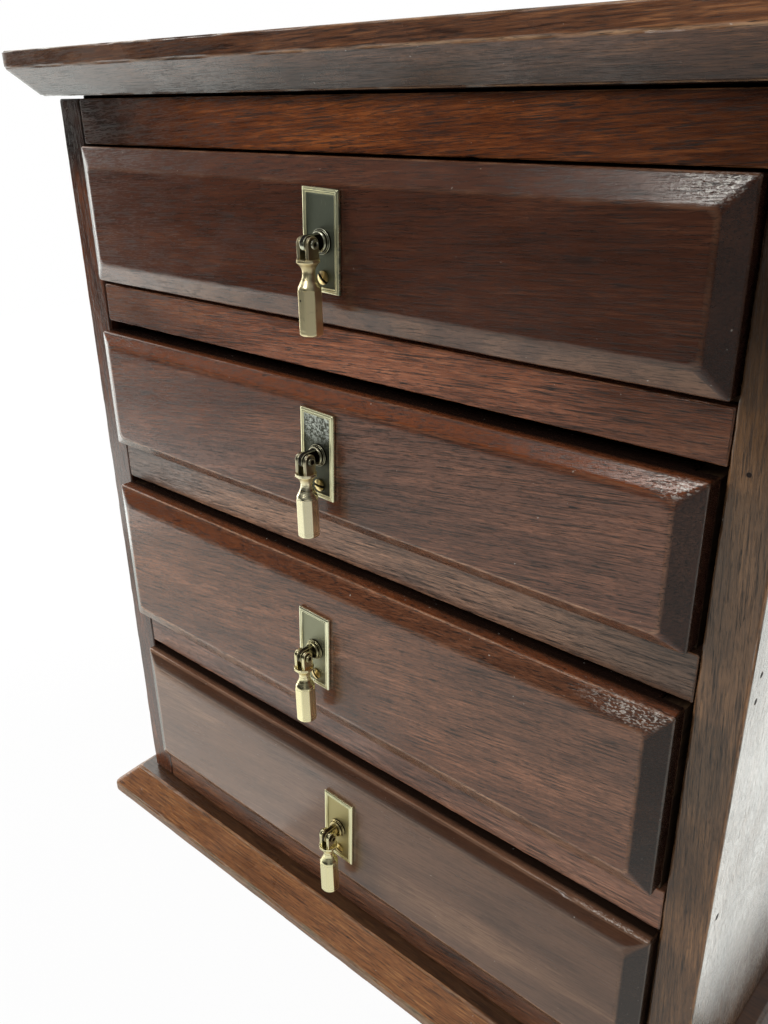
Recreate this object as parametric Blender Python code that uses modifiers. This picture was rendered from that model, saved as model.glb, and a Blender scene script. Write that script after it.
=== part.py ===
"""Tabletop chest of four drawers in mahogany, with bevelled fronts and brass drop pulls.

Metres, +Z up. The front faces -Y, +X is to the viewer's right, and the origin is the centre of
the base board's underside. Drawers and their fittings are numbered from the top down.
"""
import math
from types import SimpleNamespace

import bmesh
import bpy
from mathutils import Matrix, Vector

# Gap left between pieces that touch on the real chest, how far a cutter runs past a face, and how
# far shapes that make one piece run into each other
TOUCH = 0.0003
CUT_PAST = 0.002
JOIN_DEPTH = 0.0004

# Carcass
CARCASS_WIDTH = 0.330
CARCASS_DEPTH = 0.230
SIDE_THICKNESS = 0.016
TOP_RAIL_HEIGHT = 0.018
OPENING_HEIGHTS = (0.060, 0.061, 0.079, 0.0745)
RAIL_HEIGHTS = (0.017, 0.0175, 0.018)
RAIL_DEPTH = 0.040
TENON_LENGTH = 0.010
TENON_SHOULDER = 0.004
TENON_SETBACK = 0.010
BOTTOM_THICKNESS = 0.0193
BACK_THICKNESS = 0.006
BACK_REBATE = 0.008
RUNNER_WIDTH = 0.014
CLEAT_WIDTH = 0.018

# Top and base boards: a plain edge, then a chamfer, then a flat ledge beside the carcass
TOP_OVERHANG = 0.0153
TOP_CHAMFER_RUN = 0.0101
TOP_CHAMFER_RISE = 0.0112
TOP_EDGE = 0.0067
TOP_GAP = 0.0012
BASE_LEDGE = 0.0075
BASE_CHAMFER_RUN = 0.0112
BASE_CHAMFER_RISE = 0.0103
BASE_EDGE = 0.0062
ARRIS = 0.0006

# Drawer fronts, hand fitted: one value a drawer where they differ
FRONT_THICKNESS = 0.016
FRONT_PROUD = (0.0029, 0.0050, 0.0071, 0.0043)
FRONT_GAP_ABOVE = (0.0008, 0.0040, 0.0026, 0.0030)
FRONT_GAP_BELOW = (0.0021, 0.0017, 0.0026, 0.0012)
FRONT_GAP_LEFT = 0.0011
FRONT_GAP_RIGHT = (0.0010, 0.0024, 0.0022, 0.0010)
FRONT_LAP = 0.005
BEVEL_DEPTH = 0.0037
BEVEL_ENDS = 0.0082
BEVEL_HEIGHTS = (0.0082, 0.0054, 0.0077, 0.0070)

# Drawer boxes
DRAWER_SIDE_THICKNESS = 0.008
DRAWER_BACK_THICKNESS = 0.008
DRAWER_BOTTOM_THICKNESS = 0.004
DRAWER_HEADROOM = 0.0025
DRAWER_SIDE_DROP = 0.0008
DRAWER_BACK_DROP = 0.005
DRAWER_STOP_GAP = 0.0005
GROOVE_DEPTH = 0.004
GROOVE_RISE = 0.006

# Pulls: place on the front, then backplate, post, pin, drop and screw
PULL_ACROSS = (0.0026, -0.0021, -0.0075, -0.0016)
PULL_ABOVE_MIDDLE = (0.0015, 0.0021, 0.0007, 0.0006)
PLATE_FIELD_WIDTH = 0.0128
PLATE_FIELD_HEIGHT = 0.0306
PLATE_RIM_WIDTH = 0.0022
PLATE_RIM_HEIGHT = 0.0007
PLATE_THICKNESS = 0.0010
PLATE_ARRIS = 0.00035
FLANGE_RADIUS = 0.0044
FLANGE_HEIGHT = 0.0009
BOSS_RADIUS = 0.0037
BOSS_HEIGHT = 0.0024
BOSS_ROUNDING = 0.0007
SHANK_RADIUS = 0.0017
RIVET_RADIUS = 0.0032
RIVET_THICKNESS = 0.0012
LUG_RADIUS = 0.0029
LUG_THICKNESS = 0.0022
EAR_RADIUS = 0.0027
EAR_THICKNESS = 0.0017
CROTCH_GAP = 0.0021
PIN_RADIUS = 0.0008
PIN_HEAD_RADIUS = 0.0017
PIN_HEAD_THICKNESS = 0.0006
COLLAR_RADIUS = 0.0040
COLLAR_THICKNESS = 0.0008
COLLAR_FLARE = 0.0020
NECK_RADIUS = 0.0024
NECK_LENGTH = 0.0040
SHOULDER_LENGTH = 0.0054
BODY_LENGTH = 0.0160
BODY_ACROSS = 0.0086
BODY_FOOT = 0.0012
DROP_CLEARANCE = 0.0020
SCREW_HEAD_RADIUS = 0.0024
SCREW_HEAD_HEIGHT = 0.0009
SCREW_HEAD_EDGE = 0.0003
SCREW_CROWN_RADIUS = 0.0014
SCREW_RIM_GAP = 0.0006
SCREW_SHANK_RADIUS = 0.0011
SCREW_LENGTH = 0.009
SCREW_SLOT_WIDTH = 0.0006
SCREW_SLOT_DEPTH = 0.0005
TURN_STEPS = 16
BODY_SIDES = 8

# Levels and planes that follow from the sizes above
BASE_PROJECTION = BASE_LEDGE + BASE_CHAMFER_RUN
BASE_TOP = BASE_EDGE + BASE_CHAMFER_RISE
CARCASS_HEIGHT = TOP_RAIL_HEIGHT + sum(OPENING_HEIGHTS) + sum(RAIL_HEIGHTS) + BOTTOM_THICKNESS
CARCASS_BOTTOM = BASE_TOP + TOUCH
CARCASS_TOP = CARCASS_BOTTOM + CARCASS_HEIGHT
TOP_UNDERSIDE = CARCASS_TOP + TOP_GAP
CARCASS_BACK = (CARCASS_DEPTH + BASE_PROJECTION) / 2
CARCASS_FRONT = CARCASS_BACK - CARCASS_DEPTH
BACK_FACE = CARCASS_BACK - BACK_THICKNESS
INNER_X = CARCASS_WIDTH / 2 - SIDE_THICKNESS
PIN_STANDOFF = PLATE_THICKNESS + PLATE_RIM_HEIGHT + DROP_CLEARANCE + max(BODY_ACROSS / 2, COLLAR_RADIUS)
COLLAR_DROP = LUG_RADIUS + CROTCH_GAP
FORK_WIDTH = LUG_THICKNESS + 2 * (TOUCH + EAR_THICKNESS)
SCREW_DROP = PLATE_FIELD_HEIGHT / 2 - SCREW_RIM_GAP - SCREW_HEAD_RADIUS

# Colour, roughness and metallic value of each finish
FINISHES = {
    "polished_mahogany": ((0.075, 0.026, 0.016), 0.32, 0.0),
    "carcass_mahogany": ((0.085, 0.032, 0.018), 0.40, 0.0),
    "worn_mahogany": ((0.150, 0.062, 0.030), 0.42, 0.0),
    "lining_wood": ((0.300, 0.170, 0.085), 0.60, 0.0),
    "aged_brass": ((0.330, 0.270, 0.150), 0.38, 1.0),
    "bright_brass": ((0.620, 0.480, 0.230), 0.26, 1.0),
}


def clear_scene():
    """Remove every object, so that the model starts from an empty scene."""
    for old in list(bpy.data.objects):
        bpy.data.objects.remove(old, do_unlink=True)


def new_collection(name):
    """A collection linked to the scene."""
    collection = bpy.data.collections.new(name)
    bpy.context.scene.collection.children.link(collection)
    return collection


def finish_material(name):
    """The Principled material of one finish, made the first time it is asked for."""
    material = bpy.data.materials.get(name)
    if material is None:
        colour, roughness, metallic = FINISHES[name]
        material = bpy.data.materials.new(name)
        material.use_nodes = True
        shader = material.node_tree.nodes["Principled BSDF"]
        shader.inputs["Base Color"].default_value = (*colour, 1.0)
        shader.inputs["Roughness"].default_value = roughness
        shader.inputs["Metallic"].default_value = metallic
    return material


clear_scene()
PARTS = new_collection("tabletop_chest")
CUTTERS = new_collection("cutters")


def add_object(name, mesh, location, finish=None, parent=None):
    """A part with its finish, or a wire cutter if it has none, at a place in world space."""
    piece = bpy.data.objects.new(name, mesh)
    if finish is None:
        CUTTERS.objects.link(piece)
        piece.hide_render = True
        piece.display_type = "WIRE"
    else:
        PARTS.objects.link(piece)
        mesh.materials.append(finish_material(finish))
    piece.location = Vector(location)
    if parent is not None:
        piece.parent = parent
        piece.location -= parent.location
    return piece


def carrier(name, location):
    """An empty that carries the pieces of one drawer along its slide."""
    empty = bpy.data.objects.new(name, None)
    empty.location = Vector(location)
    PARTS.objects.link(empty)
    return empty


def mesh_from(name, bm):
    """A mesh made from a bmesh, which is freed."""
    bmesh.ops.recalc_face_normals(bm, faces=bm.faces[:])
    mesh = bpy.data.meshes.new(name)
    bm.to_mesh(mesh)
    bm.free()
    return mesh


def box_bmesh(low, high):
    """A cube stretched between two corners, about their middle, and that middle."""
    low, high = Vector(low), Vector(high)
    bm = bmesh.new()
    bmesh.ops.create_cube(bm, size=1.0)
    bmesh.ops.scale(bm, vec=high - low, verts=bm.verts[:])
    return bm, (low + high) / 2


def face_towards(bm, direction):
    """The face whose middle lies furthest along a direction."""
    direction = Vector(direction)
    bm.faces.ensure_lookup_table()
    return max(bm.faces, key=lambda face: face.calc_center_median().dot(direction))


def soften(piece, width):
    """Take the arrises off a piece."""
    bevel = piece.modifiers.new("arris", "BEVEL")
    bevel.width = width
    bevel.segments = 1
    bevel.limit_method = "ANGLE"


def board(name, low, high, finish=None, parent=None, arris=0.0):
    """A squared board, or a squared cutter, between two corners in world space."""
    bm, middle = box_bmesh(low, high)
    piece = add_object(name, mesh_from(name, bm), middle, finish, parent)
    if arris:
        soften(piece, arris)
    return piece


def boolean(piece, other, operation):
    """Cut another object out of a piece, or join it to the piece."""
    step = piece.modifiers.new(other.name, "BOOLEAN")
    step.operation = operation
    step.object = other
    step.solver = "EXACT"


def cut_box(piece, name, low, high):
    """Cut a squared recess out of a piece."""
    boolean(piece, board(name, low, high), "DIFFERENCE")


def rod(name, radius, start, end):
    """A round cutter between two points that lie along one axis."""
    start, end = Vector(start), Vector(end)
    along = end - start
    bm = bmesh.new()
    bmesh.ops.create_cone(bm, cap_ends=True, segments=TURN_STEPS, radius1=radius, radius2=radius,
                          depth=along.length)
    half_step = Matrix.Rotation(math.pi / TURN_STEPS, 3, "Z")
    turn = Vector((0, 0, 1)).rotation_difference(along).to_matrix()
    bmesh.ops.rotate(bm, cent=(0, 0, 0), matrix=turn @ half_step, verts=bm.verts[:])
    return add_object(name, mesh_from(name, bm), (start + end) / 2)


def round_ended_bar(name, radius, start, end, reach):
    """A rod between two points, with the half that faces along reach drawn out to a flat end there."""
    bar = rod(name, radius, start, end)
    way = Vector(reach).normalized()
    for vert in bar.data.vertices:
        along = vert.co.dot(way)
        if along > 0:
            vert.co += way * (Vector(reach).length - along)
    return bar


def turned(name, profile, location, finish=None, rotation=(0, 0, 0), parent=None):
    """A shape turned about its own Z from (radius, height) points that run from top to bottom."""
    mesh = bpy.data.meshes.new(name)
    points = [(radius, 0.0, height) for radius, height in profile]
    mesh.from_pydata(points, [(k, k + 1) for k in range(len(points) - 1)], [])
    piece = add_object(name, mesh, location, finish, parent)
    piece.rotation_euler = rotation
    screw = piece.modifiers.new("turning", "SCREW")
    screw.steps = TURN_STEPS
    screw.render_steps = TURN_STEPS
    screw.use_merge_vertices = True
    screw.merge_threshold = 0.00001
    screw.use_smooth_shade = True
    return piece


def chamfered_board(name, low, high, run, rise, up, finish):
    """A board whose front and ends slope in towards its upper or its lower face.

    The cube is the plain edge. Its face on the chamfer's side is extruded by the rise and drawn in
    by the run at the front and both ends, and stays flush at the back.
    """
    bm, middle = box_bmesh(low, high)
    side = 1 if up else -1
    face = face_towards(bm, (0, 0, side))
    grown = bmesh.ops.extrude_face_region(bm, geom=[face])
    bm.faces.remove(face)
    for vert in (v for v in grown["geom"] if isinstance(v, bmesh.types.BMVert)):
        vert.co.z += side * rise
        vert.co.x -= math.copysign(run, vert.co.x)
        if vert.co.y < 0:
            vert.co.y += run
    piece = add_object(name, mesh_from(name, bm), middle, finish)
    soften(piece, ARRIS)
    return piece


def opening_levels():
    """Lowest and highest level of each drawer opening, from the top drawer down."""
    levels = []
    top = CARCASS_TOP - TOP_RAIL_HEIGHT
    for opening, below in zip(OPENING_HEIGHTS, RAIL_HEIGHTS + (BOTTOM_THICKNESS,)):
        levels.append((top - opening, top))
        top -= opening + below
    return levels


def build_boards():
    """The top and base boards, which close the carcass above and below."""
    half_top = CARCASS_WIDTH / 2 + TOP_OVERHANG
    edge_bottom = TOP_UNDERSIDE + TOP_CHAMFER_RISE
    chamfered_board("top_board", (-half_top, CARCASS_FRONT - TOP_OVERHANG, edge_bottom),
                    (half_top, CARCASS_BACK, edge_bottom + TOP_EDGE),
                    TOP_CHAMFER_RUN, TOP_CHAMFER_RISE, False, "carcass_mahogany")
    half_base = CARCASS_WIDTH / 2 + BASE_PROJECTION
    chamfered_board("base_board", (-half_base, CARCASS_FRONT - BASE_PROJECTION, 0),
                    (half_base, CARCASS_BACK, BASE_EDGE),
                    BASE_CHAMFER_RUN, BASE_CHAMFER_RISE, True, "worn_mahogany")


def build_sides():
    """The two side boards, rebated at the back for the back panel."""
    sides = {}
    for name, sign in (("left", -1), ("right", 1)):
        faces = sorted((sign * INNER_X, sign * CARCASS_WIDTH / 2))
        side = board(f"{name}_side", (faces[0], CARCASS_FRONT, CARCASS_BOTTOM),
                     (faces[1], CARCASS_BACK, CARCASS_TOP), "carcass_mahogany", arris=ARRIS)
        rebate = sorted((sign * (INNER_X - CUT_PAST), sign * (INNER_X + BACK_REBATE)))
        cut_box(side, f"{name}_back_rebate", (rebate[0], BACK_FACE - TOUCH, CARCASS_BOTTOM - CUT_PAST),
                (rebate[1], CARCASS_BACK + CUT_PAST, CARCASS_TOP + CUT_PAST))
        sides[sign] = side
    return sides


def build_back_and_bottom():
    """The back panel, in its rebates and up to the top board, and the bottom board."""
    half_back = INNER_X + BACK_REBATE - TOUCH
    board("back_panel", (-half_back, BACK_FACE, CARCASS_BOTTOM),
          (half_back, CARCASS_BACK, TOP_UNDERSIDE - TOUCH), "lining_wood")
    half_bottom = INNER_X - TOUCH
    board("carcass_bottom", (-half_bottom, CARCASS_FRONT, CARCASS_BOTTOM),
          (half_bottom, BACK_FACE - TOUCH, CARCASS_BOTTOM + BOTTOM_THICKNESS), "carcass_mahogany")


def build_rail(name, bottom, top, sides):
    """A rail across the front, with a stub tenon in a mortise at each end."""
    half = INNER_X - TOUCH
    rear = CARCASS_FRONT + RAIL_DEPTH
    rail = board(name, (-half, CARCASS_FRONT, bottom), (half, rear, top), "carcass_mahogany")
    low = Vector((0, CARCASS_FRONT + TENON_SETBACK, bottom + TENON_SHOULDER))
    high = Vector((0, rear - TENON_SETBACK, top - TENON_SHOULDER))
    tenons = board(f"{name}_tenons", low - Vector((half + TENON_LENGTH, 0, 0)),
                   high + Vector((half + TENON_LENGTH, 0, 0)))
    boolean(rail, tenons, "UNION")
    play = Vector((TOUCH, TOUCH, TOUCH))
    for sign, side in sides.items():
        reach = sorted((sign * (INNER_X - CUT_PAST), sign * (half + TENON_LENGTH)))
        mortise_low = Vector((reach[0], low.y, low.z)) - play
        mortise_high = Vector((reach[1], high.y, high.z)) + play
        cut_box(side, f"{name}_mortise_{sign}", mortise_low, mortise_high)


def build_rails_and_runners(sides):
    """The rails, the runners level with them, and the cleats that carry the top board."""
    build_rail("top_rail", CARCASS_TOP - TOP_RAIL_HEIGHT, CARCASS_TOP, sides)
    front = CARCASS_FRONT + RAIL_DEPTH + TOUCH
    rear = BACK_FACE - TOUCH
    levels = opening_levels()
    for number, height in enumerate(RAIL_HEIGHTS, start=1):
        top = levels[number - 1][0]
        build_rail(f"rail_{number}", top - height, top, sides)
        for name, sign in (("left", -1), ("right", 1)):
            faces = sorted((sign * (INNER_X - TOUCH), sign * (INNER_X - TOUCH - RUNNER_WIDTH)))
            board(f"{name}_runner_{number}", (faces[0], front, top - height), (faces[1], rear, top),
                  "lining_wood")
    for name, sign in (("left", -1), ("right", 1)):
        faces = sorted((sign * (INNER_X - TOUCH), sign * (INNER_X - TOUCH - CLEAT_WIDTH)))
        board(f"{name}_top_cleat", (faces[0], front, CARCASS_TOP - TOP_RAIL_HEIGHT),
              (faces[1], rear, TOP_UNDERSIDE - TOUCH), "lining_wood")


def drawer_sizes(index):
    """Planes and levels of one drawer, worked out from its opening."""
    bottom, top = opening_levels()[index]
    size = SimpleNamespace()
    size.left = -INNER_X + FRONT_GAP_LEFT
    size.right = INNER_X - FRONT_GAP_RIGHT[index]
    size.low = bottom + FRONT_GAP_BELOW[index]
    size.high = top - FRONT_GAP_ABOVE[index]
    size.edge = CARCASS_FRONT - FRONT_PROUD[index]
    size.field = size.edge - BEVEL_DEPTH
    size.inside = size.field + FRONT_THICKNESS
    size.rear = BACK_FACE - DRAWER_STOP_GAP
    size.side_low = bottom + TOUCH
    size.side_high = min(top - DRAWER_HEADROOM, size.high - DRAWER_SIDE_DROP)
    size.inner_left = size.left + DRAWER_SIDE_THICKNESS
    size.inner_right = size.right - DRAWER_SIDE_THICKNESS
    size.panel_low = size.side_low + GROOVE_RISE
    size.panel_high = size.panel_low + DRAWER_BOTTOM_THICKNESS
    return size


def build_front(name, size, bevel_height, parent):
    """A drawer front: a squared board whose face is drawn in all round by the bevels."""
    bm, middle = box_bmesh((size.left, size.edge, size.low), (size.right, size.inside, size.high))
    face = face_towards(bm, (0, -1, 0))
    grown = bmesh.ops.extrude_face_region(bm, geom=[face])
    bm.faces.remove(face)
    for vert in (v for v in grown["geom"] if isinstance(v, bmesh.types.BMVert)):
        vert.co.y -= BEVEL_DEPTH
        vert.co.x -= math.copysign(BEVEL_ENDS, vert.co.x)
        vert.co.z -= math.copysign(bevel_height, vert.co.z)
    front = add_object(f"{name}_front", mesh_from(f"{name}_front", bm), middle, "polished_mahogany", parent)
    soften(front, ARRIS)
    lap = size.inside - FRONT_LAP
    for side, low_x, high_x in (("left", size.left - CUT_PAST, size.inner_left + TOUCH),
                                ("right", size.inner_right - TOUCH, size.right + CUT_PAST)):
        cut_box(front, f"{name}_{side}_lap", (low_x, lap, size.low - CUT_PAST),
                (high_x, size.inside + CUT_PAST, size.high + CUT_PAST))
    cut_box(front, f"{name}_front_groove",
            (size.inner_left - GROOVE_DEPTH, size.inside - GROOVE_DEPTH, size.panel_low - TOUCH),
            (size.inner_right + GROOVE_DEPTH, size.inside + CUT_PAST, size.panel_high + TOUCH))
    return front


def build_drawer_box(name, size, parent):
    """The two sides, grooved for the bottom and lapped to the front, and the back and bottom."""
    start = size.inside - FRONT_LAP + TOUCH
    for side, low_x, high_x, inward in (("left", size.left, size.inner_left, 1),
                                        ("right", size.inner_right, size.right, -1)):
        piece = board(f"{name}_{side}_side", (low_x, start, size.side_low),
                      (high_x, size.rear, size.side_high), "lining_wood", parent)
        inner = high_x if inward > 0 else low_x
        groove = sorted((inner - inward * GROOVE_DEPTH, inner + inward * CUT_PAST))
        cut_box(piece, f"{name}_{side}_groove", (groove[0], start - CUT_PAST, size.panel_low - TOUCH),
                (groove[1], size.rear + CUT_PAST, size.panel_high + TOUCH))
    reach = GROOVE_DEPTH - TOUCH
    board(f"{name}_bottom", (size.inner_left - reach, size.inside - reach, size.panel_low),
          (size.inner_right + reach, size.rear, size.panel_high), "lining_wood", parent)
    back_front = size.rear - DRAWER_BACK_THICKNESS
    board(f"{name}_back", (size.inner_left + TOUCH, back_front, size.panel_high + TOUCH),
          (size.inner_right - TOUCH, size.rear, size.side_high - DRAWER_BACK_DROP), "lining_wood", parent)


def build_backplate(name, centre, parent):
    """A rectangular plate with a raised rim round a sunk field, drilled for the post and the screw."""
    half_width = PLATE_FIELD_WIDTH / 2 + PLATE_RIM_WIDTH
    half_height = PLATE_FIELD_HEIGHT / 2 + PLATE_RIM_WIDTH
    front = centre.y - PLATE_THICKNESS - PLATE_RIM_HEIGHT
    plate = board(f"{name}_backplate", (centre.x - half_width, front, centre.z - half_height),
                  (centre.x + half_width, centre.y - TOUCH, centre.z + half_height), "aged_brass", parent)
    soften(plate, PLATE_ARRIS)
    field = Vector((PLATE_FIELD_WIDTH / 2, 0, PLATE_FIELD_HEIGHT / 2))
    cut_box(plate, f"{name}_field", Vector((centre.x, front - CUT_PAST, centre.z)) - field,
            Vector((centre.x, centre.y - PLATE_THICKNESS, centre.z)) + field)
    return plate


def drill(pieces, name, radius, start, end):
    """Drill one round hole through several pieces."""
    hole = rod(name, radius, start, end)
    for piece in pieces:
        boolean(piece, hole, "DIFFERENCE")


def build_post(name, centre, parent):
    """The post: a shank riveted inside the drawer, a flanged boss, and a lug drilled for the pin."""
    seat = PLATE_THICKNESS + TOUCH
    flange_top = seat + FLANGE_HEIGHT
    boss_top = seat + BOSS_HEIGHT
    inside = -FRONT_THICKNESS - TOUCH
    rivet_end = inside - RIVET_THICKNESS
    profile = [(0, boss_top), (BOSS_RADIUS - BOSS_ROUNDING, boss_top),
               (BOSS_RADIUS, boss_top - BOSS_ROUNDING), (BOSS_RADIUS, flange_top),
               (FLANGE_RADIUS, flange_top), (FLANGE_RADIUS, seat), (SHANK_RADIUS, seat),
               (SHANK_RADIUS, inside), (RIVET_RADIUS, inside), (RIVET_RADIUS, rivet_end), (0, rivet_end)]
    post = turned(f"{name}_post", profile, centre, "aged_brass", (math.pi / 2, 0, 0), parent)
    pin_y = centre.y - PIN_STANDOFF
    half = LUG_THICKNESS / 2
    lug = round_ended_bar(f"{name}_lug", LUG_RADIUS, (centre.x - half, pin_y, centre.z),
                          (centre.x + half, pin_y, centre.z), (0, PIN_STANDOFF - boss_top + JOIN_DEPTH, 0))
    boolean(post, lug, "UNION")
    drill([post], f"{name}_lug_hole", PIN_RADIUS + TOUCH, (centre.x - half - CUT_PAST, pin_y, centre.z),
          (centre.x + half + CUT_PAST, pin_y, centre.z))


def build_pin(name, pin, parent):
    """The cross pin, headed at both ends outside the drop's ears."""
    neck = FORK_WIDTH / 2 + TOUCH
    tip = neck + PIN_HEAD_THICKNESS
    profile = [(0, tip), (PIN_HEAD_RADIUS, tip), (PIN_HEAD_RADIUS, neck), (PIN_RADIUS, neck),
               (PIN_RADIUS, -neck), (PIN_HEAD_RADIUS, -neck), (PIN_HEAD_RADIUS, -tip), (0, -tip)]
    turned(f"{name}_pin", profile, pin, "aged_brass", (0, math.pi / 2, 0), parent)


def build_drop(name, pin, parent):
    """The drop: two ears on the pin, a flared collar, a neck and an eight-sided body."""
    collar = -COLLAR_DROP
    neck_top = collar - COLLAR_THICKNESS - COLLAR_FLARE
    neck_end = collar - COLLAR_THICKNESS - NECK_LENGTH
    shoulder = neck_end - SHOULDER_LENGTH
    foot_of_cone = BODY_ACROSS / 2 - JOIN_DEPTH
    profile = [(0, collar), (COLLAR_RADIUS, collar), (COLLAR_RADIUS, collar - COLLAR_THICKNESS),
               (NECK_RADIUS, neck_top), (NECK_RADIUS, neck_end), (foot_of_cone, shoulder),
               (foot_of_cone, shoulder - JOIN_DEPTH), (0, shoulder - JOIN_DEPTH)]
    drop = turned(f"{name}_drop", profile, pin, "bright_brass", parent=parent)

    bm = bmesh.new()
    corner = BODY_ACROSS / 2 / math.cos(math.pi / BODY_SIDES)
    bmesh.ops.create_cone(bm, cap_ends=True, segments=BODY_SIDES, radius1=corner, radius2=corner,
                          depth=BODY_LENGTH - BODY_FOOT)
    foot = face_towards(bm, (0, 0, -1))
    grown = bmesh.ops.extrude_face_region(bm, geom=[foot])
    bm.faces.remove(foot)
    shrink = 1 - BODY_FOOT / corner
    for vert in (v for v in grown["geom"] if isinstance(v, bmesh.types.BMVert)):
        vert.co = (vert.co.x * shrink, vert.co.y * shrink, vert.co.z - BODY_FOOT)
    body_middle = pin + Vector((0, 0, shoulder - (BODY_LENGTH - BODY_FOOT) / 2))
    body = add_object(f"{name}_drop_body", mesh_from(f"{name}_drop_body", bm), body_middle)
    body.rotation_euler = (0, 0, math.pi / BODY_SIDES)
    boolean(drop, body, "UNION")

    inner = LUG_THICKNESS / 2 + TOUCH
    outer = FORK_WIDTH / 2
    for side, low_x, high_x in (("left", -outer, -inner), ("right", inner, outer)):
        ear = round_ended_bar(f"{name}_{side}_ear", EAR_RADIUS, pin + Vector((low_x, 0, 0)),
                              pin + Vector((high_x, 0, 0)), (0, 0, collar - JOIN_DEPTH))
        boolean(drop, ear, "UNION")
    past = Vector((outer + CUT_PAST, 0, 0))
    drill([drop], f"{name}_ear_holes", PIN_RADIUS + TOUCH, pin - past, pin + past)


def build_screw(name, head, parent):
    """The slotted screw that keeps the backplate from turning."""
    top = SCREW_HEAD_HEIGHT
    profile = [(0, top), (SCREW_CROWN_RADIUS, top), (SCREW_HEAD_RADIUS, SCREW_HEAD_EDGE),
               (SCREW_HEAD_RADIUS, 0), (SCREW_SHANK_RADIUS, 0),
               (SCREW_SHANK_RADIUS, -SCREW_LENGTH + SCREW_SHANK_RADIUS), (0, -SCREW_LENGTH)]
    screw = turned(f"{name}_screw", profile, head, "bright_brass", (math.pi / 2, 0, 0), parent)
    reach = SCREW_HEAD_RADIUS + CUT_PAST
    cut_box(screw, f"{name}_screw_slot",
            head + Vector((-reach, -top - CUT_PAST, -SCREW_SLOT_WIDTH / 2)),
            head + Vector((reach, -top + SCREW_SLOT_DEPTH, SCREW_SLOT_WIDTH / 2)))


def build_pull(number, size, front, parent):
    """One brass drop pull on a drawer front."""
    name = f"pull_{number}"
    middle = (size.low + size.high) / 2
    centre = Vector((PULL_ACROSS[number - 1], size.field, middle + PULL_ABOVE_MIDDLE[number - 1]))
    pin = centre - Vector((0, PIN_STANDOFF, 0))
    screw_head = centre - Vector((0, PLATE_THICKNESS + TOUCH, SCREW_DROP))
    plate = build_backplate(name, centre, parent)
    build_post(name, centre, parent)
    build_pin(name, pin, parent)
    build_drop(name, pin, parent)
    build_screw(name, screw_head, parent)
    through = Vector((0, FRONT_THICKNESS + CUT_PAST, 0))
    outside = Vector((0, PLATE_THICKNESS + PLATE_RIM_HEIGHT + CUT_PAST, 0))
    drill([plate, front], f"{name}_shank_hole", SHANK_RADIUS + TOUCH, centre - outside, centre + through)
    below = Vector((0, 0, SCREW_DROP))
    depth = Vector((0, SCREW_LENGTH, 0))
    drill([plate, front], f"{name}_screw_hole", SCREW_SHANK_RADIUS + TOUCH, centre - below - outside,
          centre - below + depth)


def build_drawers():
    """The four drawers, each on a carrier at the middle of its front, with its pull."""
    for index, bevel_height in enumerate(BEVEL_HEIGHTS):
        number = index + 1
        size = drawer_sizes(index)
        slide = carrier(f"drawer_{number}_slide", (0, size.edge, (size.low + size.high) / 2))
        front = build_front(f"drawer_{number}", size, bevel_height, slide)
        build_drawer_box(f"drawer_{number}", size, slide)
        build_pull(number, size, front, slide)


build_boards()
side_boards = build_sides()
build_back_and_bottom()
build_rails_and_runners(side_boards)
build_drawers()
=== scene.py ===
"""A mahogany tabletop chest of four drawers with brass drop pulls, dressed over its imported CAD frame.

Lengths are in metres, and the drawer fronts face -Y. The pieces follow the order in which the chest is
put together: carcass, base, top, drawers, pulls. The white table and the lamps come last.
"""

import bpy
import numpy as np
from mathutils import Matrix, Vector


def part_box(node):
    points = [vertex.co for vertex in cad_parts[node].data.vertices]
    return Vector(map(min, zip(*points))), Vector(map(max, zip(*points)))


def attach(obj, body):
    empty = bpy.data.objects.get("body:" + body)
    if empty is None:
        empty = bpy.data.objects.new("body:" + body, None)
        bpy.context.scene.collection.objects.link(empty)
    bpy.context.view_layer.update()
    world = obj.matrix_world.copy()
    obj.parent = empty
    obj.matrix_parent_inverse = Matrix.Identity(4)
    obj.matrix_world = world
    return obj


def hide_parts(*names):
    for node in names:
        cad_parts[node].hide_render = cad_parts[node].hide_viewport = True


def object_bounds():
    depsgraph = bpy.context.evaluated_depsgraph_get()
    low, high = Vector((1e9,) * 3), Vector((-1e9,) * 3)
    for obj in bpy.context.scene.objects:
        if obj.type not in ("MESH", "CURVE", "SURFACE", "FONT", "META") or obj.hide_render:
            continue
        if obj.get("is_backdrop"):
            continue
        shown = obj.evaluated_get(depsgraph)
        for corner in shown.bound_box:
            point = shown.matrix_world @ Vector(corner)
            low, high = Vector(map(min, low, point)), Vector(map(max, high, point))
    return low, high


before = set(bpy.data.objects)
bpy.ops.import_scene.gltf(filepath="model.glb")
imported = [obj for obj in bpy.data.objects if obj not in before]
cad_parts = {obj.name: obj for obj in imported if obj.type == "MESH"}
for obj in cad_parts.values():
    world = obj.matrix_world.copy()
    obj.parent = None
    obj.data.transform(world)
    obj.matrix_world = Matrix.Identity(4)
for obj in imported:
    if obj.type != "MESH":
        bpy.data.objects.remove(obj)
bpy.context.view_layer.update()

# The view: a short lens held close to the front right corner, just below the level of the top board's
# face. The frame is upright, and the lens is given for its long side.
CAMERA_PLACE = (0.23579, -0.34391, 0.38127)
CAMERA_YAW, CAMERA_PITCH, CAMERA_ROLL = np.radians((41.8915, -24.3695, -1.0185))
LENS = 32.536
FILM = 36.0


def in_scene(name, data):
    """A new object that holds some data, linked into the scene."""
    made = bpy.data.objects.new(name, data)
    bpy.context.scene.collection.objects.link(made)
    return made


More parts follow.
